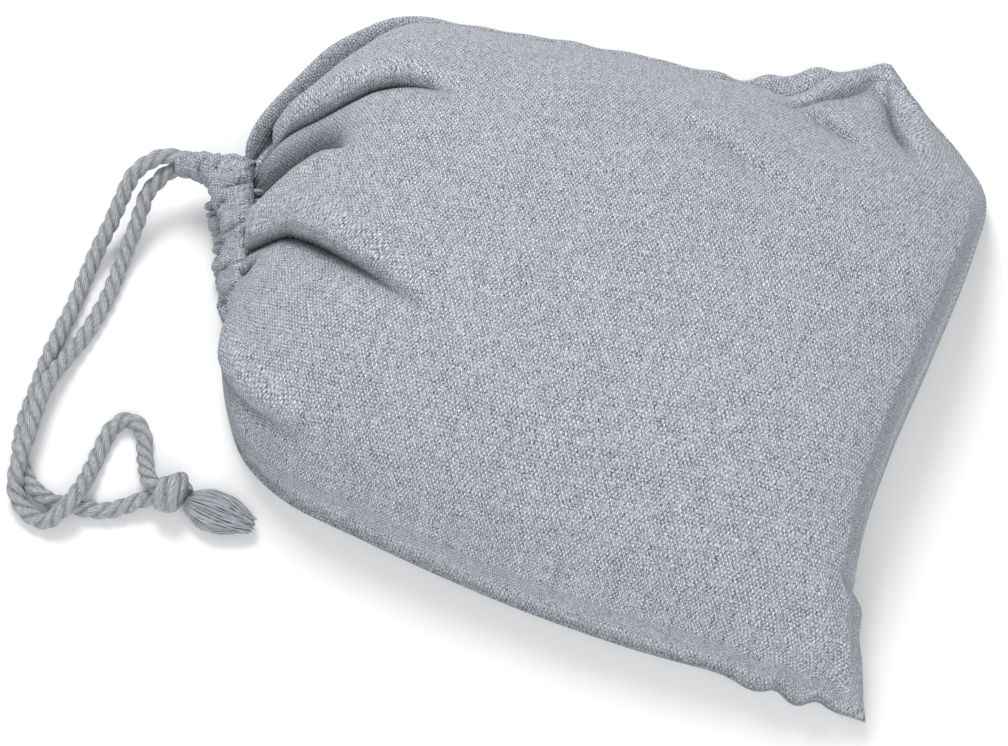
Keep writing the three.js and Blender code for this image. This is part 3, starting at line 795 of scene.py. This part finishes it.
class LAUNDRYBAG_OT_back_panel(bpy.types.Operator):
    """Back panel: flat where it rests, with a rim that bulges past the upper side seam"""
    bl_idname = "laundry_bag.back_panel"
    bl_label = "Back panel"

    def execute(self, context):
        canvas = context.scene.laundry_bag.canvas
        u, v = panel_parameters(190, 190)
        smooth_shape = back_surface(u, v, canvas.fullness)
        weave = laid_flat(smooth_shape, u, v)
        shape = smooth_shape.copy()
        x, y = smooth_shape[..., 0], smooth_shape[..., 1]
        inside = edge_fade(u, v)
        for fold in BACK_FOLDS.values():
            pressed, _ = press_fold(shape.copy(), fold, canvas.fold_depth)
            lifted = smooth_shape[..., 2] - pressed[..., 2]
            shape[..., 2] += np.maximum(lifted, 0) * inside
        uneven = ripple(x, y, 0.06, 13) + 0.5 * ripple(x, y, 0.024, 14)
        shape[..., 2] += np.maximum(uneven, 0) * canvas.crinkle * inside
        rim = bell(v, 0.978, 0.02) * smooth((1 - u) / 0.04) * smooth(u / 0.05)
        waves = 0.5 * np.sin(x / 0.037 * 2 * np.pi) + 0.5 * np.sin(x / 0.0235 * 2 * np.pi + 1.3)
        strength = blend(0.5, 2.0, smooth((x - 0.03) / 0.04) * smooth((0.12 - x) / 0.02))
        shape[..., 1] += rim * waves * strength * MM
        shape[..., 2] += rim * (0.5 * waves * strength + 0.4 * ripple(x, y, 0.02, 15)) * MM
        near_neck = np.exp(-(u / 0.05) ** 2)
        shape[..., 2] -= 1.3 * MM * gathers(v, 15, 18) * near_neck * smooth(np.minimum(v, 1 - v) / 0.04)
        shape[..., 2] = np.maximum(shape[..., 2], 0)
        panel = cloth_slab("back_panel_cloth", shape, canvas.thickness, -1, weave)
        finish(panel, canvas_material(), "bag", "canvas", "back_panel")
        return {"FINISHED"}


# Route of the drawcord's hidden run through both hems.
HEM_TURN = np.array((-139, -49.5, 17)) * MM
FRONT_HEM = millimetres(
    (-168, 16, 28.5), (-165, 11, 28.5), (-159, 2, 28), (-152.5, -9, 27.5),
    (-147.5, -21, 26.5), (-145.5, -32, 25), (-143.5, -42, 22))
BACK_HEM = millimetres(
    (-143.5, -44, 12), (-147.5, -35, 9.5), (-152, -24, 9),
    (-157, -11, 9), (-162, 0, 9.5), (-166, 8, 12.5))
HIDDEN_CORD = np.vstack([
    millimetres((-171, 18.3, 28.5), (-170, 18.2, 28.5)), FRONT_HEM,
    HEM_TURN[None], BACK_HEM,
    millimetres((-167.2, 12.6, 16.5), (-168.6, 15, 19.8), (-170, 15.8, 20.9), (-171, 15.9, 21))])


HEM_TUCK = 3.0 * MM


def hem_outline(seed, tips, furrows):
    """Outline of a gathered hem: round over the cord, drawn out to the panel's edge."""
    rng = np.random.default_rng(seed)
    places = (np.arange(furrows) + rng.uniform(-0.32, 0.32, furrows)) / furrows
    widths = rng.uniform(0.14, 0.30, furrows) / furrows
    depths = rng.uniform(1.4, 4.0, furrows)
    slants = rng.uniform(-0.35, 0.35, furrows) / furrows
    phases = rng.uniform(0, 2 * np.pi, (2, furrows))
    swell_phase = rng.uniform(0, 2 * np.pi, 3)

    def section(share, angle):
        furrow = np.zeros(np.broadcast(share, angle).shape)
        for place, width, depth, slant, turn, reach in zip(places, widths, depths, slants, *phases):
            strength = 0.7 + 0.3 * np.sin(angle + reach)
            furrow += depth * strength * bell(share + slant * np.sin(angle + turn), place, width)
        radius = 6.6 - furrow
        radius += 0.7 * np.sin(15 * share + swell_phase[0] + np.sin(angle))
        radius += 0.4 * np.sin(41 * share + swell_phase[1] + 2 * angle)
        towards = np.clip(np.cos(angle), 0, 1) ** 3
        reach = blend(radius * MM, tips[:, None], towards)
        height = (1 + 0.5 * towards) * (1 - 0.16 * furrow * towards)
        return reach * np.cos(angle), reach * np.sin(angle) * height

    return section


class LAUNDRYBAG_OT_hem_casings(bpy.types.Operator):
    """Hem casings: the gathered channels of both panels with the cord inside"""
    bl_idname = "laundry_bag.hem_casings"
    bl_label = "Hem casings"

    def execute(self, context):
        canvas = context.scene.laundry_bag.canvas
        hems = (
            ("front_hem_casing", "front_casing", np.vstack([FRONT_HEM, HEM_TURN]), front_surface, 1, 5, 11),
            ("back_hem_casing", "back_casing", np.vstack([HEM_TURN, BACK_HEM]), back_surface, -1, 6, 15),
        )
        for name, node, route, surface, side, seed, furrows in hems:
            share = np.linspace(0, 1, 230)
            centres = Route(route).at(share)
            v = 1 - share if side > 0 else share
            edge = surface(np.full_like(v, 0.004), np.clip(v, 0.02, 0.98), canvas.fullness)
            edge[:, 2] -= side * HEM_TUCK
            tips = np.linalg.norm(edge - centres, axis=1) + HEM_TUCK
            casing = sleeve_mesh(name, centres, edge, hem_outline(seed, tips, furrows), 1.0 * MM)
            finish(casing, canvas_material(), "bag", "canvas", node)
        cord = context.scene.laundry_bag.cord
        centres = Route(HIDDEN_CORD).at(np.linspace(0, 1, 150))
        hidden = rope_mesh("cord_in_the_hems", centres, cord.diameter, cord.lay_length)
        finish(hidden, cord_material(), "bag", "cord", "casing_cord")
        return {"FINISHED"}


def bunched_section(share, angle):
    """Outline of the cord's exit: two lobes at its mouth, wider and pleated towards the bag."""
    widen = smooth(share)
    lobe = 1 + 0.15 * (1 - widen) * np.cos(2 * (angle - 1.85))
    pleat = 1 - np.abs(np.sin(3.5 * angle + 1.2 * np.sin(2.2 * share * np.pi) + 0.7))
    radius = blend(6.5, 13.0, widen) * lobe * (1 - (0.06 + 0.12 * widen) * pleat ** 2.5)
    cross_fold = 1.1 * bell(share + 0.05 * np.sin(angle), 0.22, 0.035)
    cross_fold = cross_fold + 1.5 * bell(share - 0.06 * np.sin(2 * angle), 0.42, 0.04)
    cross_fold = cross_fold + 1.8 * bell(share + 0.08 * np.sin(angle + 1), 0.66, 0.05)
    wave = 0.25 * np.sin(17 * share * np.pi + 2 * angle)
    radius = (radius - cross_fold + wave) * MM
    return radius * np.cos(angle), radius * np.sin(angle) * blend(1.05, 0.85, widen)


class LAUNDRYBAG_OT_exit_sleeve(bpy.types.Operator):
    """Exit sleeve: the bunched end of both hems that the two cord halves leave from"""
    bl_idname = "laundry_bag.exit_sleeve"
    bl_label = "Exit sleeve"

    def execute(self, context):
        path = Route(millimetres((-187, 17.2, 24.8), (-180, 17.4, 24.8), (-172, 17.8, 24.8),
                                 (-164, 16.5, 24.5), (-155, 14, 23.5)))
        centres = path.at(np.linspace(0, 1, 90))
        beside = centres + millimetres(0, 10, 0)
        sleeve = sleeve_mesh("bunched_exit_sleeve", centres, beside, bunched_section, 1.0 * MM, sides=110)
        finish(sleeve, canvas_material(), "bag", "canvas", "cord_exit_sleeve")
        return {"FINISHED"}


# ---------------------------------------------------------------------------
# Stitching
# ---------------------------------------------------------------------------

def group_input(tree, name, kind, default):
    socket = tree.interface.new_socket(name=name, in_out="INPUT", socket_type=kind)
    socket.default_value = default
    return socket


def stitch_tree(sizes):
    """Stitches of one pitch along a line."""
    tree = bpy.data.node_groups.new("row_of_stitches", "GeometryNodeTree")
    tree.interface.new_socket(name="Line", in_out="INPUT", socket_type="NodeSocketGeometry")
    group_input(tree, "Pitch", "NodeSocketFloat", sizes.pitch)
    group_input(tree, "Stitch length", "NodeSocketFloat", sizes.length)
    group_input(tree, "Thread thickness", "NodeSocketFloat", sizes.thickness)
    tree.interface.new_socket(name="Thread", in_out="INPUT", socket_type="NodeSocketMaterial")
    tree.interface.new_socket(name="Stitches", in_out="OUTPUT", socket_type="NodeSocketGeometry")
    source = put(tree, "NodeGroupInput").outputs
    line = put(tree, "GeometryNodeMeshToCurve", {0: source["Line"]}).outputs[0]
    spaced = put(tree, "GeometryNodeResampleCurve", {"Curve": line, "Length": source["Pitch"]}, mode="LENGTH")
    tangent = put(tree, "GeometryNodeInputTangent").outputs[0]
    turn = put(tree, "FunctionNodeAlignRotationToVector", {"Vector": tangent}, axis="Z").outputs[0]
    half = sums(tree, "MULTIPLY", source["Stitch length"], 0.5)
    bend_start = put(tree, "ShaderNodeCombineXYZ", {2: sums(tree, "MULTIPLY", half, -1.0)}).outputs[0]
    bend_end = put(tree, "ShaderNodeCombineXYZ", {2: half}).outputs[0]
    core = put(tree, "GeometryNodeCurvePrimitiveLine", {"Start": bend_start, "End": bend_end}).outputs[0]
    core = put(tree, "GeometryNodeResampleCurve", {"Curve": core, "Count": 5}).outputs[0]
    share = put(tree, "GeometryNodeSplineParameter").outputs[0]
    centred = sums(tree, "MULTIPLY_ADD", share, 2.0, -1.0)
    plump = sums(tree, "SUBTRACT", 1.15, sums(tree, "MULTIPLY", centred, centred))
    radius = sums(tree, "MULTIPLY", sums(tree, "POWER", plump, 0.5),
                  sums(tree, "MULTIPLY", source["Thread thickness"], 0.5))
    profile = put(tree, "GeometryNodeCurvePrimitiveCircle", {"Resolution": 7, "Radius": 1.0}).outputs[0]
    stitch = put(tree, "GeometryNodeCurveToMesh", {
        "Curve": core, "Profile Curve": profile, "Scale": radius, "Fill Caps": True}).outputs[0]
    placed = put(tree, "GeometryNodeInstanceOnPoints", {
        "Points": spaced.outputs[0], "Instance": stitch, "Rotation": turn}).outputs[0]
    real = put(tree, "GeometryNodeRealizeInstances", {0: placed}).outputs[0]
    painted = put(tree, "GeometryNodeSetMaterial",
                  {"Geometry": real, "Material": source["Thread"]}).outputs[0]
    put(tree, "NodeGroupOutput", {0: painted})
    return tree


def evaluate_tree(name, base, tree, **values):
    """Run a Geometry Nodes tree on a base object and keep its result as a plain mesh."""
    modifier = base.modifiers.new("build", "NODES")
    modifier.node_group = tree
    sockets = {item.name: item.identifier for item in tree.interface.items_tree if item.item_type == "SOCKET"}
    for label, value in values.items():
        modifier[sockets[label.replace("_", " ")]] = value
    graph = bpy.context.evaluated_depsgraph_get()
    mesh = bpy.data.meshes.new_from_object(base.evaluated_get(graph), depsgraph=graph)
    mesh.name = name
    base.modifiers.remove(modifier)
    bpy.data.objects.remove(base)
    piece = bpy.data.objects.new(name, mesh)
    bpy.context.scene.collection.objects.link(piece)
    return piece


def line_object(points):
    edges = [(k, k + 1) for k in range(len(points) - 1)]
    mesh = bpy.data.meshes.new("line")
    mesh.from_pydata([tuple(p) for p in points], edges, [])
    line = bpy.data.objects.new("line", mesh)
    bpy.context.scene.collection.objects.link(line)
    return line


def seam_run(along_side, inset, count=200):
    """The sewn edge, just inside the cloth: one side seam, or the bottom seam if no side is given."""
    t = np.linspace(0.04, 0.97, count)
    fixed = np.full(count, 1.0 if along_side is None else float(along_side))
    points = seam_point(fixed, t) if along_side is None else seam_point(t, fixed)
    middle = seam_point(np.full(count, 0.5), np.full(count, 0.5))
    inwards = middle - points
    inwards[:, 2] = 0
    return points + inwards / np.linalg.norm(inwards, axis=1)[:, None] * inset


class LAUNDRYBAG_OT_stitching(bpy.types.Operator):
    """Rows of stitching on the side seams, the bottom seam and both hems"""
    bl_idname = "laundry_bag.stitching"
    bl_label = "Stitching"

    def execute(self, context):
        sizes = context.scene.laundry_bag.stitch
        tree = stitch_tree(sizes)
        v = np.linspace(0.93, 0.06, 60)
        fullness = context.scene.laundry_bag.canvas.fullness
        front_hem = front_surface(np.full_like(v, 0.003), v, fullness)[:, None]
        for fold in FRONT_FOLDS.values():
            front_hem, _ = press_fold(front_hem, fold, context.scene.laundry_bag.canvas.fold_depth)
        front_hem = front_hem[:, 0] + millimetres(-1.6, 0, -0.6)
        back_hem = back_surface(np.full_like(v, 0.003), v, fullness) + millimetres(-1.6, 0, -0.3)
        rows = {
            "side_stitching_upper": seam_run(along_side=1, inset=0.3 * MM),
            "side_stitching_lower": seam_run(along_side=0, inset=0.3 * MM),
            "bottom_stitching": seam_run(along_side=None, inset=0.3 * MM),
            "hem_stitching_front": front_hem,
            "hem_stitching_back": back_hem,
        }
        for node, points in rows.items():
            stitches = evaluate_tree(f"{node}_thread", line_object(points), tree, Pitch=sizes.pitch,
                                     Stitch_length=sizes.length, Thread_thickness=sizes.thickness,
                                     Thread=thread_material())
            finish(stitches, thread_material(), "bag", "thread", node)
        return {"FINISHED"}


# ---------------------------------------------------------------------------
# Free cord, knot and tassel
# ---------------------------------------------------------------------------

UPPER_LEG = millimetres(
    (-172.2, 18.3, 28.5), (-180, 18.3, 28.5), (-187, 18.3, 28.5), (-194, 17, 28.5), (-199.5, 13, 28),
    (-205, 6.5, 26), (-207.5, 0, 22.5), (-209.5, -7, 18), (-212, -16, 12.5), (-215, -27, 7.5),
    (-217, -42, 4.2), (-218, -58, 3.6), (-220, -75, 3.6), (-221, -89, 3.6), (-221, -104, 3.6),
    (-221, -118, 3.6), (-219, -131, 3.6), (-216, -138.5, 3.6), (-210.5, -146, 3.6), (-205, -150, 3.6),
    (-198, -153, 3.6), (-187, -153.5, 3.6), (-174, -152.5, 3.6), (-167, -150, 4), (-160.5, -146, 5.2),
    (-154, -142.5, 6.5), (-147, -139.5, 7.5))
LOWER_LEG = millimetres(
    (-172.2, 15.9, 21), (-180, 15.9, 21), (-187, 15.9, 21), (-191.8, 12.6, 21), (-195.2, 7.4, 20),
    (-198, 2.5, 18.5), (-199.5, -6, 14.5), (-200.5, -14, 10.5), (-202, -23, 7), (-203, -36, 4.2),
    (-204, -50, 3.6), (-206, -62, 3.6), (-209, -74, 4), (-212, -84, 5.5), (-214.5, -94, 8),
    (-216, -106, 9.9), (-215.5, -118, 10.6), (-215, -129, 11), (-215, -139, 11.1), (-214.5, -146, 10.2),
    (-213, -153.5, 6.4), (-206, -161, 3.6), (-196, -163.5, 4.2), (-190.5, -160, 8), (-186.5, -154, 11.1),
    (-184.5, -147, 9.6), (-184, -137, 5.2), (-183, -125, 3.6), (-181.5, -114, 3.6), (-177, -107.5, 3.6),
    (-171, -107.5, 3.6), (-166, -112.5, 3.6), (-163, -120.5, 4.4), (-159, -129, 8), (-154, -136.5, 12),
    (-148, -138.5, 12.5))
KNOT = millimetres(-144, -138, 10)
TASSEL_TURN = math.radians(-8)


class LAUNDRYBAG_OT_drawcord(bpy.types.Operator):
    """Free drawcord: both halves from the sleeve to the knot, laid from three strands"""
    bl_idname = "laundry_bag.drawcord"
    bl_label = "Drawcord"

    def execute(self, context):
        cord = context.scene.laundry_bag.cord
        for name, route, phase in (("upper", UPPER_LEG, 0.4), ("lower", LOWER_LEG, 2.0)):
            line = Route(route)
            centres = line.at(np.linspace(0, 1, int(line.length / (0.85 * MM))))
            leg = rope_mesh(f"drawcord_{name}_half", centres, cord.diameter, cord.lay_length, phase)
            finish(leg, cord_material(), None, "cord", f"cord_root_{name}", f"cord_leg_{name}")
            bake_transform(leg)
        return {"FINISHED"}


def knot_route():
    """Two turns round the cord's axis, with both ends tucked into the middle."""
    turns = np.linspace(0, 1, 150)
    angle = 2 * np.pi * (2.15 * turns - 0.05)
    tuck = smooth(turns / 0.16) * smooth((1 - turns) / 0.16)
    radius = blend(0.8, 5.8, tuck) * MM
    along_axis = (blend(-4.2, 4.8, turns) + 1.6 * np.sin(angle + 0.5)) * MM
    axis = np.array([math.cos(TASSEL_TURN), math.sin(TASSEL_TURN), 0])
    side = np.array([-math.sin(TASSEL_TURN), math.cos(TASSEL_TURN), 0])
    ring = np.cos(angle)[:, None] * side + np.sin(angle)[:, None] * np.array([0, 0, 0.92])
    return KNOT + along_axis[:, None] * axis + radius[:, None] * ring


class LAUNDRYBAG_OT_end_knot(bpy.types.Operator):
    """Overhand knot that joins both halves of the cord"""
    bl_idname = "laundry_bag.end_knot"
    bl_label = "End knot"

    def execute(self, context):
        cord = context.scene.laundry_bag.cord
        knot = rope_mesh("end_knot_rope", knot_route(), 1.16 * cord.diameter, cord.lay_length * 1.6, 0.9)
        finish(knot, cord_material(), "cord_tail", "cord", "end_knot")
        return {"FINISHED"}


def tassel_tree(sizes):
    """A flared bunch of loose yarns along X, each with its own bend and length."""
    tree = bpy.data.node_groups.new("bunch_of_yarns", "GeometryNodeTree")
    tree.interface.new_socket(name="Seed point", in_out="INPUT", socket_type="NodeSocketGeometry")
    group_input(tree, "Yarns", "NodeSocketInt", sizes.yarns)
    group_input(tree, "Length", "NodeSocketFloat", sizes.length)
    group_input(tree, "Yarn thickness", "NodeSocketFloat", sizes.thickness)
    tree.interface.new_socket(name="Yarn", in_out="INPUT", socket_type="NodeSocketMaterial")
    tree.interface.new_socket(name="Tassel", in_out="OUTPUT", socket_type="NodeSocketGeometry")
    source = put(tree, "NodeGroupInput").outputs

    def draw(low, high, seed):
        return put(tree, "FunctionNodeRandomValue", {2: low, 3: high, "Seed": seed},
                   data_type="FLOAT").outputs[1]

    points = put(tree, "GeometryNodePoints", {"Count": source["Yarns"]}).outputs[0]
    traits = {}
    ranges = {"root": (0.0, 1.0), "turn": (0.0, 2 * math.pi), "reach": (0.74, 1.0), "bend": (-1.0, 1.0),
              "sway": (-1.0, 1.0), "phase": (0.0, 2 * math.pi)}
    for seed, (trait, (low, high)) in enumerate(ranges.items(), start=21):
        stored = put(tree, "GeometryNodeStoreNamedAttribute", {
            "Geometry": points, "Name": trait, "Value": draw(low, high, seed)},
            data_type="FLOAT", domain="POINT")
        points = stored.outputs[0]
        traits[trait] = put(tree, "GeometryNodeInputNamedAttribute", {"Name": trait},
                            data_type="FLOAT").outputs[0]
    core = put(tree, "GeometryNodeCurvePrimitiveLine", {"Start": (0, 0, 0), "End": (1, 0, 0)}).outputs[0]
    core = put(tree, "GeometryNodeResampleCurve", {"Curve": core, "Count": 14}).outputs[0]
    placed = put(tree, "GeometryNodeInstanceOnPoints", {"Points": points, "Instance": core}).outputs[0]
    strands = put(tree, "GeometryNodeRealizeInstances", {0: placed}).outputs[0]
    share = put(tree, "GeometryNodeSplineParameter").outputs[0]
    ring = sums(tree, "POWER", traits["root"], 0.5)
    swelling = sums(tree, "SINE", sums(tree, "MULTIPLY", share, 3.5))
    flare = sums(tree, "MULTIPLY_ADD", swelling, 5.6 * MM, 4.3 * MM)
    spread = sums(tree, "MULTIPLY", ring, flare)
    wave = sums(tree, "SINE", sums(tree, "MULTIPLY_ADD", share, 5.5, traits["phase"]))
    eased = sums(tree, "MULTIPLY", share, share)
    lean_y = sums(tree, "MULTIPLY", sums(tree, "MULTIPLY", eased, traits["bend"]), 2.4 * MM)
    lean_z = sums(tree, "MULTIPLY", sums(tree, "MULTIPLY", eased, traits["sway"]), 1.2 * MM)
    wobble = sums(tree, "MULTIPLY", sums(tree, "MULTIPLY", wave, share), 0.8 * MM)
    y = sums(tree, "MULTIPLY", spread, sums(tree, "COSINE", traits["turn"]))
    y = sums(tree, "ADD", sums(tree, "ADD", y, lean_y), wobble)
    z = sums(tree, "MULTIPLY", sums(tree, "MULTIPLY", spread, 0.52), sums(tree, "SINE", traits["turn"]))
    z = sums(tree, "ADD", z, lean_z)
    x = sums(tree, "MULTIPLY", sums(tree, "MULTIPLY", share, source["Length"]), traits["reach"])
    where = put(tree, "ShaderNodeCombineXYZ", {0: x, 1: y, 2: z}).outputs[0]
    bent = put(tree, "GeometryNodeSetPosition", {"Geometry": strands, "Position": where}).outputs[0]
    profile = put(tree, "GeometryNodeCurvePrimitiveCircle", {"Resolution": 6, "Radius": 1.0}).outputs[0]
    taper = sums(tree, "MULTIPLY_ADD", eased, -0.35, 1.0)
    radius = sums(tree, "MULTIPLY", sums(tree, "MULTIPLY", source["Yarn thickness"], 0.5), taper)
    yarns = put(tree, "GeometryNodeCurveToMesh", {
        "Curve": bent, "Profile Curve": profile, "Scale": radius, "Fill Caps": True}).outputs[0]
    turned = put(tree, "GeometryNodeTransform", {
        "Geometry": yarns, "Translation": tuple(TASSEL_START), "Rotation": (0, 0, TASSEL_TURN)}).outputs[0]
    real = put(tree, "GeometryNodeRealizeInstances", {0: turned}).outputs[0]
    painted = put(tree, "GeometryNodeSetMaterial", {"Geometry": real, "Material": source["Yarn"]}).outputs[0]
    put(tree, "NodeGroupOutput", {0: painted})
    return tree


KNOT_TO_TASSEL = 7.5 * MM
TASSEL_DROP = millimetres(0, 0, -4.2)
TASSEL_WAY = np.array([math.cos(TASSEL_TURN), math.sin(TASSEL_TURN), 0])
TASSEL_START = KNOT + KNOT_TO_TASSEL * TASSEL_WAY + TASSEL_DROP


class LAUNDRYBAG_OT_tassel(bpy.types.Operator):
    """Tassel: the loose yarn ends of the cord below its knot"""
    bl_idname = "laundry_bag.tassel"
    bl_label = "Tassel"

    def execute(self, context):
        sizes = context.scene.laundry_bag.tassel
        yarn = shared_material("frayed_yarn", spun_thread, tuple(context.scene.laundry_bag.cord.colour))
        tassel = evaluate_tree("tassel_yarns", line_object([(0, 0, 0), (MM, 0, 0)]), tassel_tree(sizes),
                               Yarns=sizes.yarns, Length=sizes.length,
                               Yarn_thickness=sizes.thickness, Yarn=yarn)
        finish(tassel, yarn, "tassel_end", "tassel_yarn", "tassel")
        return {"FINISHED"}


# ---------------------------------------------------------------------------
# Laundry inside
# ---------------------------------------------------------------------------

LOAD_STEP = 22 * MM
LOAD_BASE = 3 * MM
LOAD_MARGIN = 9 * MM
FOLDS_PER_BUNDLE = 4


def bundle_mesh(name, layer, fullness):
    """A stack of folded cloth: flat above and below, with a rounded edge for each fold."""
    rows, columns, rings = 60, 50, 33
    s = 0.5 - 0.5 * np.cos(np.pi * np.linspace(0, 1, columns))
    u, v = np.meshgrid(np.linspace(0.26, 0.91, rows), 0.10 + 0.80 * s, indexing="ij")
    floor = LOAD_BASE + layer * LOAD_STEP
    roof = front_surface(u, v, fullness)
    spare = LOAD_MARGIN + 2.5 * MM * (2 - layer) + 9 * MM * (1 - smooth((u - 0.3) / 0.2))
    top = roof.copy()
    top[..., 2] = np.minimum(floor + LOAD_STEP - 0.5 * MM, roof[..., 2] - spare)
    base = top.copy()
    base[..., 2] = np.minimum(floor, top[..., 2] - 2.2 * MM)
    index = np.arange(rows * columns).reshape(rows, columns)
    edge = np.concatenate([index[:, 0], index[-1, 1:], index[-2::-1, -1], index[0, -2:0:-1]])
    middle = top.reshape(-1, 3).mean(0)
    lower, upper = base.reshape(-1, 3)[edge], top.reshape(-1, 3)[edge]
    outward = lower[:, :2] - middle[:2]
    outward /= np.linalg.norm(outward, axis=1)[:, None]
    wall = []
    for ring in range(1, rings):
        height = ring / rings
        bulge = abs(math.sin(math.pi * FOLDS_PER_BUNDLE * height)) ** 0.6 * 1.6 * MM
        loop = blend(lower, upper, height)
        loop[:, :2] += outward * bulge
        wall.append(loop)
    wall = np.array(wall)
    count = rows * columns
    vertices = np.concatenate([base.reshape(-1, 3), top.reshape(-1, 3), wall.reshape(-1, 3)])
    sheet = np.stack([index[:-1, :-1], index[1:, :-1], index[1:, 1:], index[:-1, 1:]], -1).reshape(-1, 4)
    loops = ([edge] + [2 * count + k * len(edge) + np.arange(len(edge)) for k in range(rings - 1)]
             + [edge + count])
    faces = sheet[:, ::-1].tolist() + (sheet + count).tolist()
    for below, above in zip(loops[:-1], loops[1:]):
        faces += np.stack([below, np.roll(below, -1), np.roll(above, -1), above], -1).tolist()
    return add_object(name, vertices, faces, vertices[:, :2])


class LAUNDRYBAG_OT_laundry(bpy.types.Operator):
    """Laundry: three folded bundles that fill the bag"""
    bl_idname = "laundry_bag.laundry"
    bl_label = "Laundry"

    def execute(self, context):
        fullness = context.scene.laundry_bag.canvas.fullness
        colours = ((0.62, 0.60, 0.56), (0.36, 0.42, 0.50), (0.66, 0.65, 0.63))
        for layer, (name, colour) in enumerate(zip(("lower", "middle", "upper"), colours)):
            bundle = bundle_mesh(f"laundry_{name}", layer, fullness)
            cotton = woven_canvas(f"folded_cotton_{name}", colour, 0.8 * MM, 0.8 * MM, 0.3, 0.2 * MM)
            finish(bundle, cotton, "bag", "laundry", f"laundry_bundle_{name}")
        return {"FINISHED"}


# ---------------------------------------------------------------------------
# Stage
# ---------------------------------------------------------------------------

def area_light(name, place, target, size, power):
    light = bpy.data.lights.new(name, "AREA")
    light.shape = "DISK"
    light.size = size
    light.energy = power
    lamp = bpy.data.objects.new(name, light)
    lamp.location = place
    lamp.rotation_euler = (Vector(target) - Vector(place)).to_track_quat("-Z", "Y").to_euler()
    bpy.context.scene.collection.objects.link(lamp)
    return lamp


class LAUNDRYBAG_OT_stage(bpy.types.Operator):
    """Stage: a pale floor, soft lights and the camera"""
    bl_idname = "laundry_bag.stage"
    bl_label = "Stage"

    def execute(self, context):
        stage = context.scene.laundry_bag.stage
        scene = context.scene
        scene.view_settings.view_transform = "Standard"
        target = Vector((-0.011, -0.054, 0.030))
        away = Vector((math.sin(stage.azimuth) * math.cos(stage.elevation),
                       -math.cos(stage.azimuth) * math.cos(stage.elevation),
                       math.sin(stage.elevation)))
        camera_data = bpy.data.cameras.new("camera")
        camera_data.lens = stage.focal_length
        camera_data.clip_start = 0.05
        camera = bpy.data.objects.new("camera", camera_data)
        camera.location = target + away * stage.distance
        camera.rotation_euler = (-away).to_track_quat("-Z", "Y").to_euler()
        scene.collection.objects.link(camera)
        scene.camera = camera
        half = 3.0
        floor = add_object("floor", [(-half, -half, -0.0002), (half, -half, -0.0002),
                                     (half, half, -0.0002), (-half, half, -0.0002)], [(0, 1, 2, 3)])
        material, tree, shader = new_material("pale_floor", 0.9, 0.0)
        place = put(tree, "ShaderNodeTexCoord").outputs["Object"]
        grain = put(tree, "ShaderNodeTexNoise", {"Vector": place, "Scale": 6.0}).outputs[0]
        brightness = sums(tree, "MULTIPLY_ADD", grain, 0.02, 0.99)
        tree.links.new(shade(tree, tuple(stage.floor_colour), brightness), shader.inputs["Base Color"])
        floor.data.materials.append(material)
        world = bpy.data.worlds.new("soft_studio")
        world.use_nodes = True
        world.node_tree.nodes["Background"].inputs[0].default_value = (0.985, 0.99, 1.0, 1.0)
        world.node_tree.nodes["Background"].inputs[1].default_value = 0.50
        scene.world = world
        area_light("key_light", (-0.5, 0.8, 1.3), (0, 0, 0.03), 0.7, 16.0)
        area_light("fill_light", (0.45, -1.2, 1.2), (0, 0, 0.03), 1.5, 15.0)
        return {"FINISHED"}


class LAUNDRYBAG_PT_panel(bpy.types.Panel):
    """Lists the bag's sizes and pieces"""
    bl_idname = "LAUNDRYBAG_PT_panel"
    bl_label = "Laundry Bag"
    bl_space_type = "VIEW_3D"
    bl_region_type = "UI"
    bl_category = "Laundry Bag"

    def draw(self, context):
        settings = context.scene.laundry_bag
        for group in (settings.canvas, settings.cord, settings.tassel, settings.stitch, settings.stage):
            box = self.layout.box()
            for name in group.__annotations__:
                box.prop(group, name)
        for operator in OPERATORS:
            self.layout.operator(operator.bl_idname)


# The camera comes first, then the cord with what is on it, then the bag.
OPERATORS = (
    LAUNDRYBAG_OT_stage,
    LAUNDRYBAG_OT_tassel,
    LAUNDRYBAG_OT_end_knot,
    LAUNDRYBAG_OT_drawcord,
    LAUNDRYBAG_OT_laundry,
    LAUNDRYBAG_OT_back_panel,
    LAUNDRYBAG_OT_front_panel,
    LAUNDRYBAG_OT_hem_casings,
    LAUNDRYBAG_OT_exit_sleeve,
    LAUNDRYBAG_OT_stitching,
)
CLASSES = (CanvasSettings, CordSettings, TasselSettings, StitchSettings, StageSettings,
           LaundryBagSettings, *OPERATORS, LAUNDRYBAG_PT_panel)


def register():
    for item in CLASSES:
        bpy.utils.register_class(item)
    bpy.types.Scene.laundry_bag = PointerProperty(type=LaundryBagSettings)


def unregister():
    del bpy.types.Scene.laundry_bag
    for item in reversed(CLASSES):
        bpy.utils.unregister_class(item)


def main():
    register()
    for operator in OPERATORS:
        group, name = operator.bl_idname.split(".")
        getattr(getattr(bpy.ops, group), name)()


if __name__ == "__main__":
    main()
